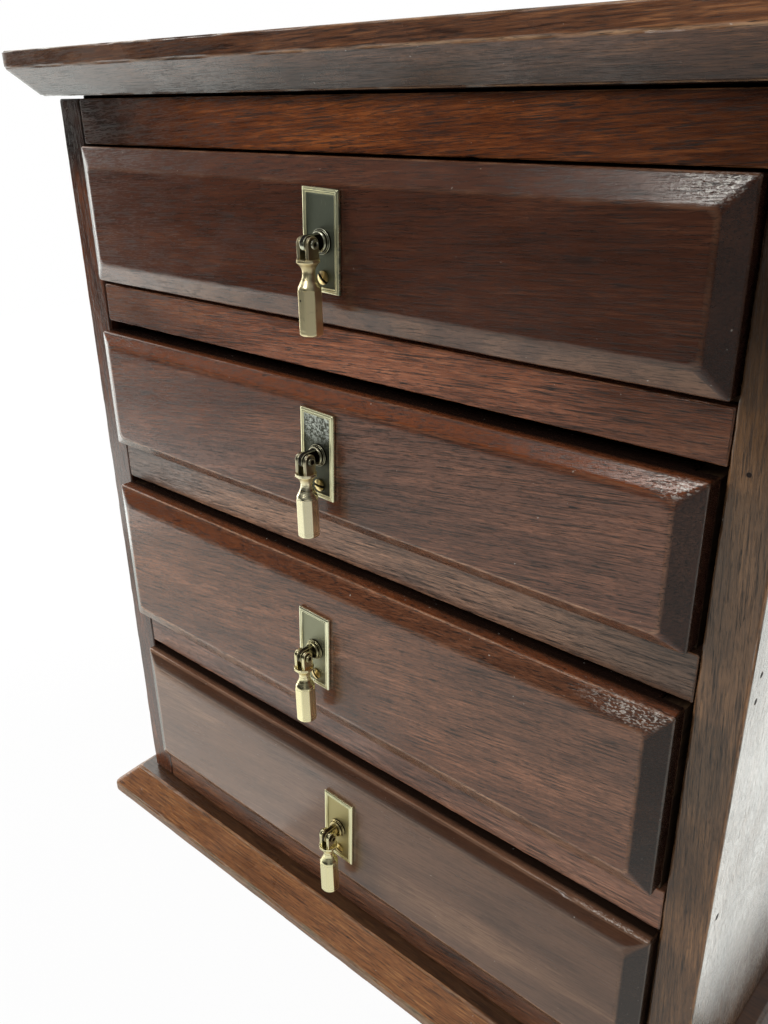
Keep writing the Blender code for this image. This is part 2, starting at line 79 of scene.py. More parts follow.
camera = in_scene("view", bpy.data.cameras.new("view"))
camera.data.sensor_fit = "AUTO"
camera.data.sensor_width = FILM
camera.data.lens = LENS
camera.matrix_world = (Matrix.Translation(CAMERA_PLACE)
                       @ Matrix.Rotation(CAMERA_YAW, 4, "Z")
                       @ Matrix.Rotation(np.pi / 2 + CAMERA_PITCH, 4, "X")
                       @ Matrix.Rotation(CAMERA_ROLL, 4, "Z"))
bpy.context.scene.camera = camera

# The carcass sides: two mahogany boards with upright grain. Their front edges show as the stiles beside
# the drawers, and they are rebated behind for the back panel. They are stained dark and polished, and their
# arrises are rubbed through to the wood.
SIDE_ARRIS = 0.0009
SIDE_WORN = (0.155, 0.163)
SIDE_SEED = 10
REBATE_PLAY = 0.0003
STEP_SLOPE = 0.0001
SIDE_DENTS = 0.0003
LOOP_STEPS, CORNER_STEPS = 110, 3
EASE_STEPS = 5
SUPPORT = 1.35
DENT_WAVES, DENT_LENGTHS = 24, (0.008, 0.070)
DENT_MEAN, DENT_SWING = 0.6, 0.7
CHIP_LENGTHS, CHIP_RAG = (0.0012, 0.006), 0.35
SMOOTH_UNDER = 38.0


def tone(red, green, blue):
    """A colour given as sRGB bytes, as the linear colour that a shader takes."""
    share = np.array((red, green, blue)) / 255
    linear = np.where(share <= 0.04045, share / 12.92, ((share + 0.055) / 1.055) ** 2.4)
    return (*linear.tolist(), 1.0)


def loops(low, high, radii, run_steps=LOOP_STEPS, corner_steps=CORNER_STEPS):
    """Closed loops round a stack of rectangles, anticlockwise: at each corner a quarter circle of that
    corner's radius, then evenly spaced points along the straight run to the next corner."""
    low, high = np.broadcast_arrays(np.asarray(low, float), np.asarray(high, float))
    radii = np.broadcast_to(np.asarray(radii, float), (len(low), 4))[..., None]
    near_right, far_left = np.stack((high[:, 0], low[:, 1]), 1), np.stack((low[:, 0], high[:, 1]), 1)
    corner = np.stack((near_right, high, far_left, low), 1)
    centre = corner + radii * np.array(((-1, 1), (-1, -1), (1, -1), (1, 1)))
    angle = np.radians((-90, 0, 90, 180))[:, None] + np.linspace(0, np.pi / 2, corner_steps + 1)
    arc = centre[:, :, None] + radii[..., None] * np.stack((np.cos(angle), np.sin(angle)), -1)
    start, end = arc[:, :, -1:], np.roll(arc, -1, 1)[:, :, :1]
    run = start + (end - start) * np.linspace(0, 1, run_steps + 1)[1:-1, None]
    return np.concatenate((arc, run), 2).reshape(len(low), -1, 2)


def eased(corners, roundings):
    """A path through corners, each inner one turned into a quadratic curve that starts and ends its
    rounding away, with one more point on the straight before and after. Also gives the wear along it:
    the sine of how far round a corner a point is, and none on the straights."""
    corners = np.asarray(corners, float)
    middle, before, after = corners[1:-1], corners[:-2] - corners[1:-1], corners[2:] - corners[1:-1]
    size = np.asarray(roundings, float)[:, None]
    before = before / np.linalg.norm(before, axis=1, keepdims=True) * size
    after = after / np.linalg.norm(after, axis=1, keepdims=True) * size
    turn = np.linspace(0, 1, EASE_STEPS + 1)[:, None]
    curve = middle[:, None] + before[:, None] * (1 - turn) ** 2 + after[:, None] * turn ** 2
    lead, trail = (middle + SUPPORT * before)[:, None], (middle + SUPPORT * after)[:, None]
    bend = np.concatenate((lead, curve, trail), 1)
    path = np.concatenate((corners[:1], bend.reshape(-1, corners.shape[1]), corners[-1:]))
    worn = np.pad(np.sin(np.pi * turn[:, 0]), 1)
    return path, np.pad(np.tile(worn, len(middle)), 1)


def ramp(values, start, end):
    """None up to a start, one from an end, and an even rise between."""
    return np.clip((values - start) / (end - start), 0, 1)


def normals(points):
    """Outward unit normals of a stack of loops: along the loop crossed with up the stack."""
    across = np.cross(np.roll(points, -1, 1) - np.roll(points, 1, 1), np.gradient(points, axis=0))
    return across / np.maximum(np.linalg.norm(across, axis=-1, keepdims=True), 1e-12)


def wander(points, seed, lengths=DENT_LENGTHS):
    """A smooth random field at points: the sum of sine waves in random directions, of about unit size."""
    draw = np.random.default_rng(seed)
    heading = draw.normal(size=(DENT_WAVES, 3))
    heading /= np.linalg.norm(heading, axis=1, keepdims=True)
    pitch = 2 * np.pi / np.geomspace(*lengths, DENT_WAVES)
    phase = draw.uniform(0, 2 * np.pi, DENT_WAVES)
    return np.sin(points @ (heading * pitch[:, None]).T + phase).sum(-1) / np.sqrt(DENT_WAVES / 2)


def dented(points, wear, depth, seed, chips=()):
    """Points sunk along their normals: on the arrises by depth times the wear and a wandering wave, and
    at each chip, given as its centre, reach and depth, by a bell round its centre."""
    sink = depth * wear[:, None] * np.clip(DENT_MEAN + DENT_SWING * wander(points, seed), 0, 2)
    for centre, reach, chip_depth in chips:
        away = np.linalg.norm((points - np.asarray(centre)) / np.asarray(reach), axis=-1)
        ragged = 1 + CHIP_RAG * wander(points, seed + 1, CHIP_LENGTHS)
        sink = sink + chip_depth * np.clip(ragged, 0.2, 2) * np.exp(-away ** 4)
    return points - normals(points) * sink[..., None]


def skin(name, stacks, finish, node_name, body):
    """A mesh over one or more stacks of loops, each closed by a flat cap at both ends. Each stack comes with
    its marks: values for each loop or each point that the finish reads by name. The finished piece stands
    for its CAD node and moves with that node's body."""
    places, faces, marks, first = [], [], {}, 0
    for points, stack_marks in stacks:
        stack, count = points.shape[:2]
        index = first + np.arange(stack * count).reshape(stack, count)
        following = np.roll(index, -1, 1)
        sides = np.stack((index[:-1], following[:-1], following[1:], index[1:]), -1).reshape(-1, 4)
        faces += [*sides.tolist(), index[0, ::-1].tolist(), index[-1].tolist()]
        places.append(points.reshape(-1, 3))
        for mark, values in stack_marks.items():
            values = np.reshape(np.asarray(values, np.float32), (stack, -1))
            marks.setdefault(mark, []).append(np.broadcast_to(values, (stack, count)).ravel())
        first += stack * count
    mesh = bpy.data.meshes.new(name)
    mesh.from_pydata(np.concatenate(places), [], faces)
    for mark, values in marks.items():
        mesh.attributes.new(mark, "FLOAT", "POINT").data.foreach_set("value", np.concatenate(values))
    mesh.polygons.foreach_set("use_smooth", np.ones(len(mesh.polygons), bool))
    mesh.set_sharp_from_angle(angle=np.radians(SMOOTH_UNDER))
    mesh.materials.append(finish)
    piece = in_scene(name, mesh)
    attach(piece, body)
    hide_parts(node_name)


def node(tree, kind, sockets=(), **settings):
    """One shader node with its settings. Each socket takes a value or a link from another node."""
    made = tree.nodes.new(f"ShaderNode{kind}")
    for key, value in settings.items():
        setattr(made, key, value)
    for key, value in dict(sockets).items():
        if isinstance(value, bpy.types.NodeSocket):
            tree.links.new(value, made.inputs[key])
        else:
            made.inputs[key].default_value = value
    return made


def calc(way, first, second):
    """One plain step between two numbers, the first of them from a node."""
    return node(first.id_data, "Math", {0: first, 1: second}, operation=way).outputs[0]


def weighted(*terms):
    """The sum of numbers, each times its weight. The first comes from a node."""
    total = 0.0
    for value, weight in terms:
        sockets = {0: value, 1: weight, 2: total}
        total = node(terms[0][0].id_data, "Math", sockets, operation="MULTIPLY_ADD").outputs[0]
    return total


def spread(value, start, end, low=0.0, high=1.0):
    """A value taken smoothly from one range to another, and held at its ends."""
    sockets = {0: value, 1: start, 2: end, 3: low, 4: high}
    return node(value.id_data, "MapRange", sockets, interpolation_type="SMOOTHSTEP").outputs[0]


def coats(colour, *layers):
    """A colour with others laid over it in turn, each by its own share."""
    for share, coat in layers:
        colour = node(share.id_data, "Mix", {0: share, 6: colour, 7: coat}, data_type="RGBA").outputs[2]
    return colour


def mottle(place, x, y, z, detail, twist=0.0):
    """Noise with its own number of patches to the metre along each axis."""
    tree = place.id_data
    scaled = node(tree, "VectorMath", {0: place, 1: (x, y, z)}, operation="MULTIPLY").outputs[0]
    sockets = {"Vector": scaled, "Scale": 1.0, "Detail": detail, "Distortion": twist}
    return node(tree, "TexNoise", sockets).outputs[0]


def carried(tree, mark):
    """The value of a mark that the mesh carries."""
    return node(tree, "Attribute", attribute_name=mark).outputs["Fac"]


def round_spot(place, spot, core):
    """One within a share of a spot's radius from its centre, and falling smoothly to none at the radius."""
    *centre, radius = spot
    away = node(place.id_data, "VectorMath", {0: place, 1: centre}, operation="DISTANCE").outputs["Value"]
    return spread(away, core * radius, radius, 1.0, 0.0)


def new_finish(name):
    """An empty material with its tree, its surface shader and the piece's own coordinates."""
    finish = bpy.data.materials.new(name)
    finish.use_nodes = True
    tree = finish.node_tree
    place = node(tree, "TexCoord").outputs["Object"]
    return finish, tree, tree.nodes["Principled BSDF"], place


def dress(tree, shader, colour, dull, relief, strength, height):
    """Joins a surface shader to its colour, its roughness and its relief, a bump of a strength and height."""
    bump = node(tree, "Bump", {"Height": relief, "Strength": strength, "Distance": height}).outputs[0]
    for socket, value in {"Base Color": colour, "Roughness": dull, "Normal": bump}.items():
        tree.links.new(value, shader.inputs[socket])


# Each noise has its patches to the metre along and across the grain, its detail and its twist. The grain's
# are ribbon, streak, line, dash, fleck, grime and glint specks, which are painted glints, and the polish's
# cloud, scuff, motes and crackle.
GRAIN_NOISE = ((8, 60, 60, 5, 0.5), (26, 280, 280, 5, 0.6), (75, 1500, 1500, 3, 0.5),
               (60, 2600, 2600, 2, 0.2), (280, 3400, 3400, 1), (16, 40, 40, 5, 0.7),
               (800, 1500, 1500, 5, 0.7))
POLISH_NOISE = (30, 30, 30, 3, 0.5), (70, 70, 70, 3), (900, 900, 900, 0), (700, 700, 700, 3, 0.5)
GRAIN_TURN = {"x": (0, 0, 0), "y": (0, 0, np.pi / 2), "z": (0, np.pi / 2, 0)}
TONE_REACH = 0.10
POLISH_IOR, POLISH_RELIEF, CALM_BUMP = 1.5, 0.0001, 0.2


def mahogany(name, grain, shift, tones, polish=0.20, figured=0.5, lined=0.25, pores=0.5, patina=0.4, rub=0.4,
             tilt=0.0, shades=(), pits=(), crazings_and_glints=()):
    """Polished mahogany. Ribbons, streaks and fine lines, each a noise drawn out along the grain, run the
    colour from deep through body to warm. Pores are short dark dashes of two sizes, cut in and duller. Old
    polish lies in clouds. A shade is painted shade that darkens the wood along an axis where less light
    falls, and a pit is a round hole. A crazed patch is a place where the polish has crazed into a bump,
    with pale specks painted in as glints, as far as the mesh's mark for it lets it. The marks that the
    mesh carries darken the wood (dark end grain, and painted shade in gaps and under edges), redden
    it and rub it pale (handling, and on the drawer fronts also painted light from the table). The grain
    may tilt in the front plane."""
    deep, body, warm, worn = (tone(*colour) for colour in tones)
    finish, tree, shader, place = new_finish(name)
    swing = np.array(GRAIN_TURN[grain]) + (0.0, np.radians(tilt), 0.0)
    along = node(tree, "Mapping", {"Vector": place, "Location": shift, "Rotation": swing}).outputs[0]
    ribbon, streak, line, dash, fleck, grime, glint_specks = (mottle(along, *noise) for noise in GRAIN_NOISE)
    cloud, scuff, motes, crackle = (mottle(place, *noise) for noise in POLISH_NOISE)
    figure = weighted((ribbon, figured), (streak, 0.45 * lined), (line, 1.55 * lined))
    middle = 0.5 * figured + lined
    # Darkening: the mesh's dark mark, for dark end grain and for painted shade in gaps and under edges, and
    # each shade, which is painted shade along an axis.
    darkening = carried(tree, "stain_and_shade")
    axes = node(tree, "SeparateXYZ", {0: place}).outputs
    for axis, clear, full, amount in shades:
        shade = spread(axes[axis], clear, full, 0.0, amount)
        shade = calc("MULTIPLY", shade, spread(cloud, 0.3, 0.7, 1.15, 0.85))
        darkening = calc("MAXIMUM", darkening, shade)
    blush = calc("MULTIPLY", carried(tree, "blush"), spread(streak, 0.35, 0.65, 0.55, 1.0))
    holes = weighted((spread(dash, 0.56, 0.62), pores), (spread(fleck, 0.54, 0.65), 0.8 * pores))
    pitted = 0.0
    for pit in pits:
        pitted = calc("MAXIMUM", round_spot(place, pit, 0.6), pitted)
    holes = calc("MAXIMUM", holes, pitted)
    # The wear mark is rubbing from handling; on the drawer fronts it also carries painted light on the lower
    # bevels and a painted highlight on the lower arrises.
    rubbed = calc("MULTIPLY", carried(tree, "wear"), spread(scuff, 0.35, 0.65, 0.3 * rub, rub))
    colour = coats(deep, (spread(figure, middle - TONE_REACH, middle), body),
                   (spread(figure, middle, middle + TONE_REACH), warm),
                   (spread(grime, 0.50, 0.72, 0.0, patina), deep), (darkening, STAIN_AND_SHADE), (blush, BLUSH),
                   (rubbed, worn), (holes, PORE), (spread(motes, 0.86, 0.90, 0.0, 0.4), DUST_AND_GLINT))
    dull = spread(cloud, 0.35, 0.70, polish - 0.03, polish + 0.06)
    dull = weighted((dull, 1.0), (holes, 0.20), (rubbed, 0.35), (pitted, 0.6))
    depth = CALM_BUMP
    # A crazed patch gives the polish a bump, and its pale specks are painted glints.
    for centre, reach in crazings_and_glints:
        offset = node(tree, "VectorMath", {0: place, 1: centre}, operation="SUBTRACT").outputs[0]
        offset = node(tree, "VectorMath", {0: offset, 1: reach}, operation="DIVIDE").outputs[0]
        away = node(tree, "VectorMath", {0: offset}, operation="LENGTH").outputs["Value"]
        crazed_and_glinting = calc("MULTIPLY", spread(away, 0.2, 1.0, 1.0, 0.0), carried(tree, "crazing_and_glint"))
        colour = coats(colour, (calc("MULTIPLY", spread(glint_specks, 0.48, 0.66, 0.0, 0.65), crazed_and_glinting), DUST_AND_GLINT))
        depth = weighted((crazed_and_glinting, 0.5), (depth, 1.0))
    relief = weighted((line, 0.4), (crackle, 1.0), (holes, -1.0))
    dress(tree, shader, colour, dull, relief, depth, POLISH_RELIEF)
    shader.inputs["IOR"].default_value = POLISH_IOR
    return finish


# The dark colour serves for dark end grain and for painted shade; the pale speck colour for real dust and for
# painted glints.
PORE, STAIN_AND_SHADE, BLUSH, DUST_AND_GLINT = tone(24, 14, 10), tone(20, 13, 10), tone(106, 54, 25), tone(200, 194, 184)
SIDE_TONES = (
    ((34, 19, 13), (80, 46, 30), (112, 66, 42), (150, 92, 54)),
    ((62, 43, 29), (97, 70, 47), (126, 92, 61), (184, 128, 76)),
)
SIDE_POLISH = (0.13, 0.20)
# Painted shade: each stile grows darker towards its top, under the top board.
SIDE_SHADES = ((2, 0.335, 0.365, 0.95),), ((2, 0.24, 0.34, 0.85),)
SIDE_PITS = (), ((0.1549, -0.1057, 0.2855, 0.0010), (0.165, -0.0983, 0.1230, 0.0016),
                 (0.165, -0.0975, 0.2212, 0.0013), (0.165, -0.0986, 0.2121, 0.0013))
SIDE_NICKS = (), (((0.1651, -0.0983, 0.1230), (0.003, 0.0012, 0.0022), 0.0006),)


def lifted(outline, level, order):
    """Loops drawn in the plane of the first two axes of an order, set at their levels along the third."""
    level = np.broadcast_to(np.reshape(level, (len(outline), -1)), outline.shape[:2])
    local = (outline[..., 0], outline[..., 1], level)
    return np.stack([local[order.index(axis)] for axis in range(3)], -1)


def plain_board(low, high, arris, stacked, short=()):
    """A board with eased arrises: its outline, drawn in by an eased square profile, carried through its
    thickness along the stacked axis. Its first and second half may be short by their own lengths at the far
    end, which leaves a rebate there. Gives the points and the wear of each loop."""
    order = {"x": (1, 2, 0), "-y": (0, 2, 1)}[stacked]
    low, high = np.array(low)[list(order)], np.array(high)[list(order)]
    thick = high[2] - low[2]
    margin = 3 * arris
    path, wear = eased(((margin, 0), (0, 0), (0, thick), (margin, thick)), (arris, arris))
    far = high[:2] - path[:, :1]
    if short:
        half = len(path) // 2
        path = np.insert(path, half, ((0, (thick - STEP_SLOPE) / 2), (0, (thick + STEP_SLOPE) / 2)), 0)
        wear = np.insert(wear, half, (0, 0))
        far = high[:2] - path[:, :1] - np.repeat(short, half + 1)[:, None] * (1, 0)
    outline = loops(low[:2] + path[:, :1], far, arris)
    level = high[2] - path[:, 1] if stacked == "-y" else low[2] + path[:, 1]
    return lifted(outline, level, order), wear


for index, side in enumerate(("left_side", "right_side")):
    low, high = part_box(side)
    rebate = high.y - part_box("back_panel")[0].y + REBATE_PLAY
    short = ((0, rebate), (rebate, 0))[index]
    points, wear = plain_board(low, high, SIDE_ARRIS, "x", short)
    finish = mahogany(f"{side}_mahogany", "z", (0.31 * index, 0.17, 0.53), SIDE_TONES[index],
                      polish=SIDE_POLISH[index], figured=0.3, lined=0.2, pores=0.55, rub=0.8, tilt=3.0,
                      shades=SIDE_SHADES[index], pits=SIDE_PITS[index])
    shape = dented(points, wear, SIDE_DENTS, index + SIDE_SEED, SIDE_NICKS[index])
    outer = ramp(np.abs(points[..., 0]), *SIDE_WORN)
    stacks = [(shape, {"wear": wear[:, None] * outer})]
    skin(f"{side}_board", stacks, finish, side, "carcass")

side_inner_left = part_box("left_side")[1].x
side_inner_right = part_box("right_side")[0].x

# The rails: a top rail and three rails between the drawers, tenoned into the sides flush with the stiles.
# The carcass bottom's front edge shows below the lowest drawer as one more rail. Behind its front face the
# top rail rises as a tongue to the top board.
RAIL_ARRIS = 0.0005
RAIL_DENTS = 0.0002
RAIL_JOINT = 0.0003
RAIL_SEED = 20
RAIL_TONES = {
    "top_rail": ((66, 32, 17), (100, 53, 27), (132, 74, 37)),
    "rail_1": ((92, 54, 37), (136, 84, 60), (166, 108, 77)),
    "rail_2": ((88, 62, 49), (128, 94, 74), (160, 120, 94)),
    "rail_3": ((76, 50, 39), (118, 80, 61), (150, 106, 82)),
    "carcass_bottom": ((54, 34, 25), (94, 60, 42), (132, 88, 60)),
}
RAIL_WORN = (160, 108, 66)
# Painted shade: the rails grow darker towards their ends, where the light falls off, and the top of the top
# rail is painted dark as the shadow gap under the top board.
RAIL_SHADES = {
    "top_rail": ((0, -0.035, -0.145, 0.95), (0, 0.060, 0.149, 0.55), (2, 0.3765, 0.3815, 0.75)),
    "rail_1": ((0, 0.040, 0.149, 0.65), (0, 0.0, -0.12, 0.60)),
    "rail_2": ((0, 0.040, 0.149, 0.72), (0, -0.050, -0.145, 0.60)),
}
RAIL_CHIPS = {"top_rail": (((0.0591, -0.1057, 0.3623), (0.0016, 0.004, 0.0010), 0.0007),)}
TONGUE_SET_BACK = 0.002
TONGUE_FOOT = 0.0006

for seed, (rail, tones) in enumerate(RAIL_TONES.items()):
    low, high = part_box(rail)
    low.x, high.x = side_inner_left + RAIL_JOINT, side_inner_right - RAIL_JOINT
    points, wear = plain_board(low, high, RAIL_ARRIS, "-y")
    shape = dented(points, wear, RAIL_DENTS, seed + RAIL_SEED, RAIL_CHIPS.get(rail, ()))
    stacks = [(shape, {"wear": wear})]
    if rail == "top_rail":
        tongue, tongue_wear = plain_board((low.x, low.y + TONGUE_SET_BACK, high.z - TONGUE_FOOT),
                                          (high.x, high.y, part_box("top_board")[0].z), RAIL_ARRIS, "-y")
        stacks.append((tongue, {"wear": 0 * tongue_wear}))
    finish = mahogany(f"{rail}_mahogany", "x", (0.4 * seed, 0.29, 0.71), (*tones, RAIL_WORN), figured=0.38,
                      pores=0.7, tilt=4.0, shades=RAIL_SHADES.get(rail, ()))
    skin(f"{rail}_board", stacks, finish, rail, "carcass")

# The lining: back panel, runners, cleats and, later, the drawer boxes. They are plain straight-grained
# wood, sawn and planed but never polished, brown with age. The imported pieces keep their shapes.
GAP_SHADE_FRONT, GAP_SHADE_END = -0.098, -0.060
LINING_DARK, LINING_MID, LINING_PALE = tone(88, 62, 40), tone(128, 94, 62), tone(156, 120, 82)
LINING_NOISE = (5, 110, 110, 5, 0.6), (14, 520, 520, 4, 0.5), (50, 1300, 1300, 3)
BLOTCH = 16, 16, 16, 4, 0.4
LINING_SHEEN = 0.15
LINING_BUMP, LINING_RELIEF = 0.4, 0.0002


def lining_wood(name, grain, shift, gap_shade=0.0):
    """Unpolished wood: drawn-out noise for growth rings, strands and fibres, with dusty clouds and a dull,
    furry surface. Towards the front it may be painted with shade, the shadow of the gap beside a drawer
    front."""
    finish, tree, shader, place = new_finish(name)
    sockets = {"Vector": place, "Location": shift, "Rotation": GRAIN_TURN[grain]}
    along = node(tree, "Mapping", sockets).outputs[0]
    rings, strand, fibre = (mottle(along, *noise) for noise in LINING_NOISE)
    # Painted shade towards the front, where the drawer sides show in the gap.
    depth = node(tree, "SeparateXYZ", {0: place}).outputs["Y"]
    colour = coats(LINING_DARK, (spread(weighted((rings, 0.5), (strand, 0.5)), 0.36, 0.64), LINING_PALE),
                   (spread(fibre, 0.40, 0.70, 0.0, 0.3), LINING_MID),
                   (spread(fibre, 0.60, 0.68, 0.0, 0.6), LINING_DARK),
                   (spread(mottle(place, *BLOTCH), 0.50, 0.75, 0.0, 0.6), LINING_DARK),
                   (spread(depth, GAP_SHADE_FRONT, GAP_SHADE_END, gap_shade, 0.0), STAIN_AND_SHADE))
    dull = spread(rings, 0.3, 0.7, 0.62, 0.78)
    dress(tree, shader, colour, dull, fibre, LINING_BUMP, LINING_RELIEF)
    shader.inputs["Specular IOR Level"].default_value = LINING_SHEEN
    return finish


def line_node(name, finish):
    """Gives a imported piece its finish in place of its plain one."""
    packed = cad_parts[name].data
    packed.materials.clear()
    packed.materials.append(finish)


upright_lining = lining_wood("upright_lining", "z", (0.2, 0.5, 0.9))
deep_lining = lining_wood("deep_lining", "y", (0.7, 0.1, 0.4))
line_node("back_panel", upright_lining)
for side in ("left", "right"):
    line_node(f"{side}_top_cleat", deep_lining)
    for number in (1, 2, 3):
        line_node(f"{side}_runner_{number}", deep_lining)

# The base: one mahogany board under the carcass, with a ledge and a wide chamfer on the front and ends and
# rounded front corners. Its polish is worn off the chamfer. The ledge is painted dark as the shade beside
# the carcass, and the right end is painted darker as shade.
BASE_CHAMFER_RUN = 0.0112
BASE_EDGE = 0.0054
BASE_FOOT, BASE_ROUNDING = 0.0006, 0.0009
BASE_CORNER, BACK_CORNER = 0.0030, 0.0003
BASE_DENTS, BASE_SEED = 0.0004, 31
BASE_TONES = ((82, 51, 32), (122, 79, 48), (150, 105, 66), (112, 106, 84))
LEDGE_SHADE, EDGE_BARE = 0.75, 0.8
CAP_MARGIN = 0.004
BACK_SHARE = 0.03


def corners_of(name):
    """The low and the high corner of a CAD node's box."""
    return [np.array(corner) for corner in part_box(name)]


def moulded_board(low, high, profile, roundings, corner):
    """A board with rounded front corners: its outline, drawn in by an eased profile of insets and heights,
    carried up its thickness, with hardly any of the inset behind. Gives the points, the eased profile and
    the wear along it."""
    path, wear = eased(profile, roundings)
    drawn_in = path[:, :1]
    radii = (corner, BACK_CORNER, BACK_CORNER, corner)
    outline = loops(low[:2] + drawn_in, high[:2] - drawn_in * (1, BACK_SHARE), radii)
    return lifted(outline, low[2] + path[:, 1], (0, 1, 2)), path, wear


low, high = corners_of("base_board")
thick = high[2] - low[2]
profile = ((CAP_MARGIN, 0), (0, 0), (0, BASE_EDGE), (BASE_CHAMFER_RUN, thick),
           (BASE_CHAMFER_RUN + CAP_MARGIN, thick))
roundings = (BASE_FOOT, BASE_ROUNDING, BASE_ROUNDING)
points, path, wear = moulded_board(low, high, profile, roundings, BASE_CORNER)
# Painted shade on the ledge beside the carcass.
ledge = np.where(path[:, 0] > BASE_CHAMFER_RUN + BASE_ROUNDING, LEDGE_SHADE, 0.0)
bare = np.maximum(wear * np.interp(path[:, 1], (BASE_EDGE, thick), (1.0, 0.4)),
                  EDGE_BARE * (np.abs(path[:, 1] - BASE_EDGE / 2) < BASE_EDGE / 2 - BASE_ROUNDING))
# The shade darkens the right end: painted shade.
finish = mahogany("base_mahogany", "x", (0.9, 0.4, 0.2), BASE_TONES, polish=0.30, figured=0.2, patina=0.3,
                  rub=0.8, tilt=1.0, shades=((0, 0.160, 0.172, 0.7),))
shape = dented(points, wear, BASE_DENTS, BASE_SEED)
stacks = [(shape, {"wear": bare, "stain_and_shade": ledge})]
skin("base_moulding", stacks, finish, "base_board", "carcass")

# The top: one wide mahogany board that overhangs the front and ends, with a thin upright edge and a wide
# chamfer below. It is held just off the carcass, and its arrises are chipped and rubbed. The chamfer, which
# faces down, is painted darker as shade, and the board grows darker towards its left end with painted shade.
TOP_CHAMFER_RUN, TOP_CHAMFER_RISE = 0.0101, 0.0112
TOP_ROUNDING = 0.0007
TOP_CORNER = 0.0012
TOP_DENTS, TOP_SEED = 0.0004, 41
TOP_TONES = ((52, 32, 23), (92, 59, 40), (128, 86, 56), (190, 150, 108))
TOP_HANDLED = (-0.05, 0.05)
CHAMFER_SHADE, CHAMFER_FADE = 0.75, 0.002

low, high = corners_of("top_board")
thick = high[2] - low[2]
profile = ((TOP_CHAMFER_RUN + CAP_MARGIN, 0), (TOP_CHAMFER_RUN, 0), (0, TOP_CHAMFER_RISE), (0, thick),
           (CAP_MARGIN, thick))
points, path, wear = moulded_board(low, high, profile, (TOP_ROUNDING,) * 3, TOP_CORNER)
# Painted shade on the chamfer, which faces down.
below = CHAMFER_SHADE * ramp(path[:, 1], TOP_CHAMFER_RISE, TOP_CHAMFER_RISE - CHAMFER_FADE)
handled = np.interp(points[..., 0], TOP_HANDLED, (0.5, 1.0))
# The shade darkens the left end: painted shade.
finish = mahogany("top_mahogany", "x", (0.1, 0.8, 0.6), TOP_TONES, polish=0.24, figured=0.30, patina=0.25,
                  rub=0.5, tilt=2.0, shades=((0, 0.04, -0.18, 0.50),))
shape = dented(points, wear, TOP_DENTS, TOP_SEED)
stacks = [(shape, {"wear": wear[:, None] * handled, "stain_and_shade": below})]
skin("top_moulding", stacks, finish, "top_board", "carcass")

# The drawer fronts: thick mahogany boards, bevelled all round to a raised field, and standing a little
# proud of the carcass. Their backs are rebated at the ends to take the drawer sides. They are french
# polished, and their soft arrises have gone pale with handling. On the lower arrises that paleness is partly
# a painted highlight, and the lower bevels are painted pale as light from the table. The back of each top
# edge is painted dark as the shadow under the rail above, the upper bevels of the lowest two are painted
# darker as shade, and the crazed polish at each upper right corner has painted glints.
FRONT_BEVEL_ENDS = 0.0082
FRONT_BEVEL_HEIGHTS = (0.0082, 0.0054, 0.0077, 0.0070)
FRONT_BEVEL_DEPTH = 0.0037
FRONT_LAP = 0.0050
FRONT_REBATE = 0.0083
FRONT_EDGE_ROUNDING = 0.0007
FRONT_FIELD_ROUNDINGS = (0.0011, 0.0010, 0.0010, 0.0010)
FRONT_TOP_ROUNDINGS = (0.0011, 0.0028, 0.0018, 0.0042)
FRONT_TOP_FADE = 0.004
FRONT_STEP = 0.0006
FRONT_CORNER, FIELD_CORNER, MITRE_STEPS = 0.0009, 0.0030, 6
FIELD_MARGIN = 0.006
FRONT_DENTS, FRONT_SEED = 0.00006, 50
# Each drawer's tones grow darker towards the top: partly the boards' own colour, partly painted shade under
# the top board, with painted light from the table on the lower drawers.
FRONT_TONES = (
    ((52, 30, 21), (70, 40, 28), (90, 54, 37)),
    ((66, 39, 29), (89, 55, 40), (114, 73, 53)),
    ((74, 47, 35), (103, 67, 48), (133, 89, 65)),
    ((74, 54, 42), (102, 75, 58), (132, 101, 78)),
)
# The pale colour of rubbed wood, also used for the painted light on the lower bevels and the painted
# highlight on the lower arrises.
FRONT_WORN_AND_LIT = (176, 134, 102)
FRONT_TILTS = (4.0, 8.0, 8.0, 5.0)
# How pale the lower field arrises are: rubbing from handling, and partly a painted highlight.
LOWER_ARRIS_RUB_AND_HIGHLIGHT = (0.15, 0.9, 1.0, 0.7)
# Painted shade towards the right ends of the top and bottom drawers.
FRONT_SHADES = ((0, 0.0, 0.15, 0.35),), (), (), ((0, 0.03, 0.15, 0.25),)
FRONT_LINED, FRONT_PORES = (0.18, 0.24, 0.24, 0.10), (0.55, 0.70, 0.70, 0.25)
# Where the polish has crazed near each front's upper right corner: a bump, with pale specks painted in as
# glints.
CRAZE_GLINT_PLACES = np.array((*[(-6.0, 1.5, -2.0)] * 3, (-16.0, 3.7, 0.0))) * 0.001
CRAZE_GLINT_REACH = np.array(((26, 4.5, 7.0), (14, 4.5, 7.0), (34, 4.5, 7.0), (24, 1.8, 1.2))) * 0.001
FRONT_CHIPS = ((), (), (), (((0.1150, -0.1105, 0.1078), (0.0035, 0.003, 0.0012), 0.0008),))
END_GRAIN = (0.60, 0.62, 0.80, 0.80)
EDGE_BLUSH = (0.5, 0.9, 1.0, 0.25)
BEVEL_BLUSH = (0.1, 0.85, 0.60, 0.15)
# Painted shade on the upper bevels of the lowest two drawers.
BEVEL_SHADE = (0.0, 0.0, 0.32, 0.72)
BLUSH_RIGHT = (1.0, 1.0, 0.15, 1.0)
RIM_WORN = (0.4, 0.25, 0.7, 0.35)
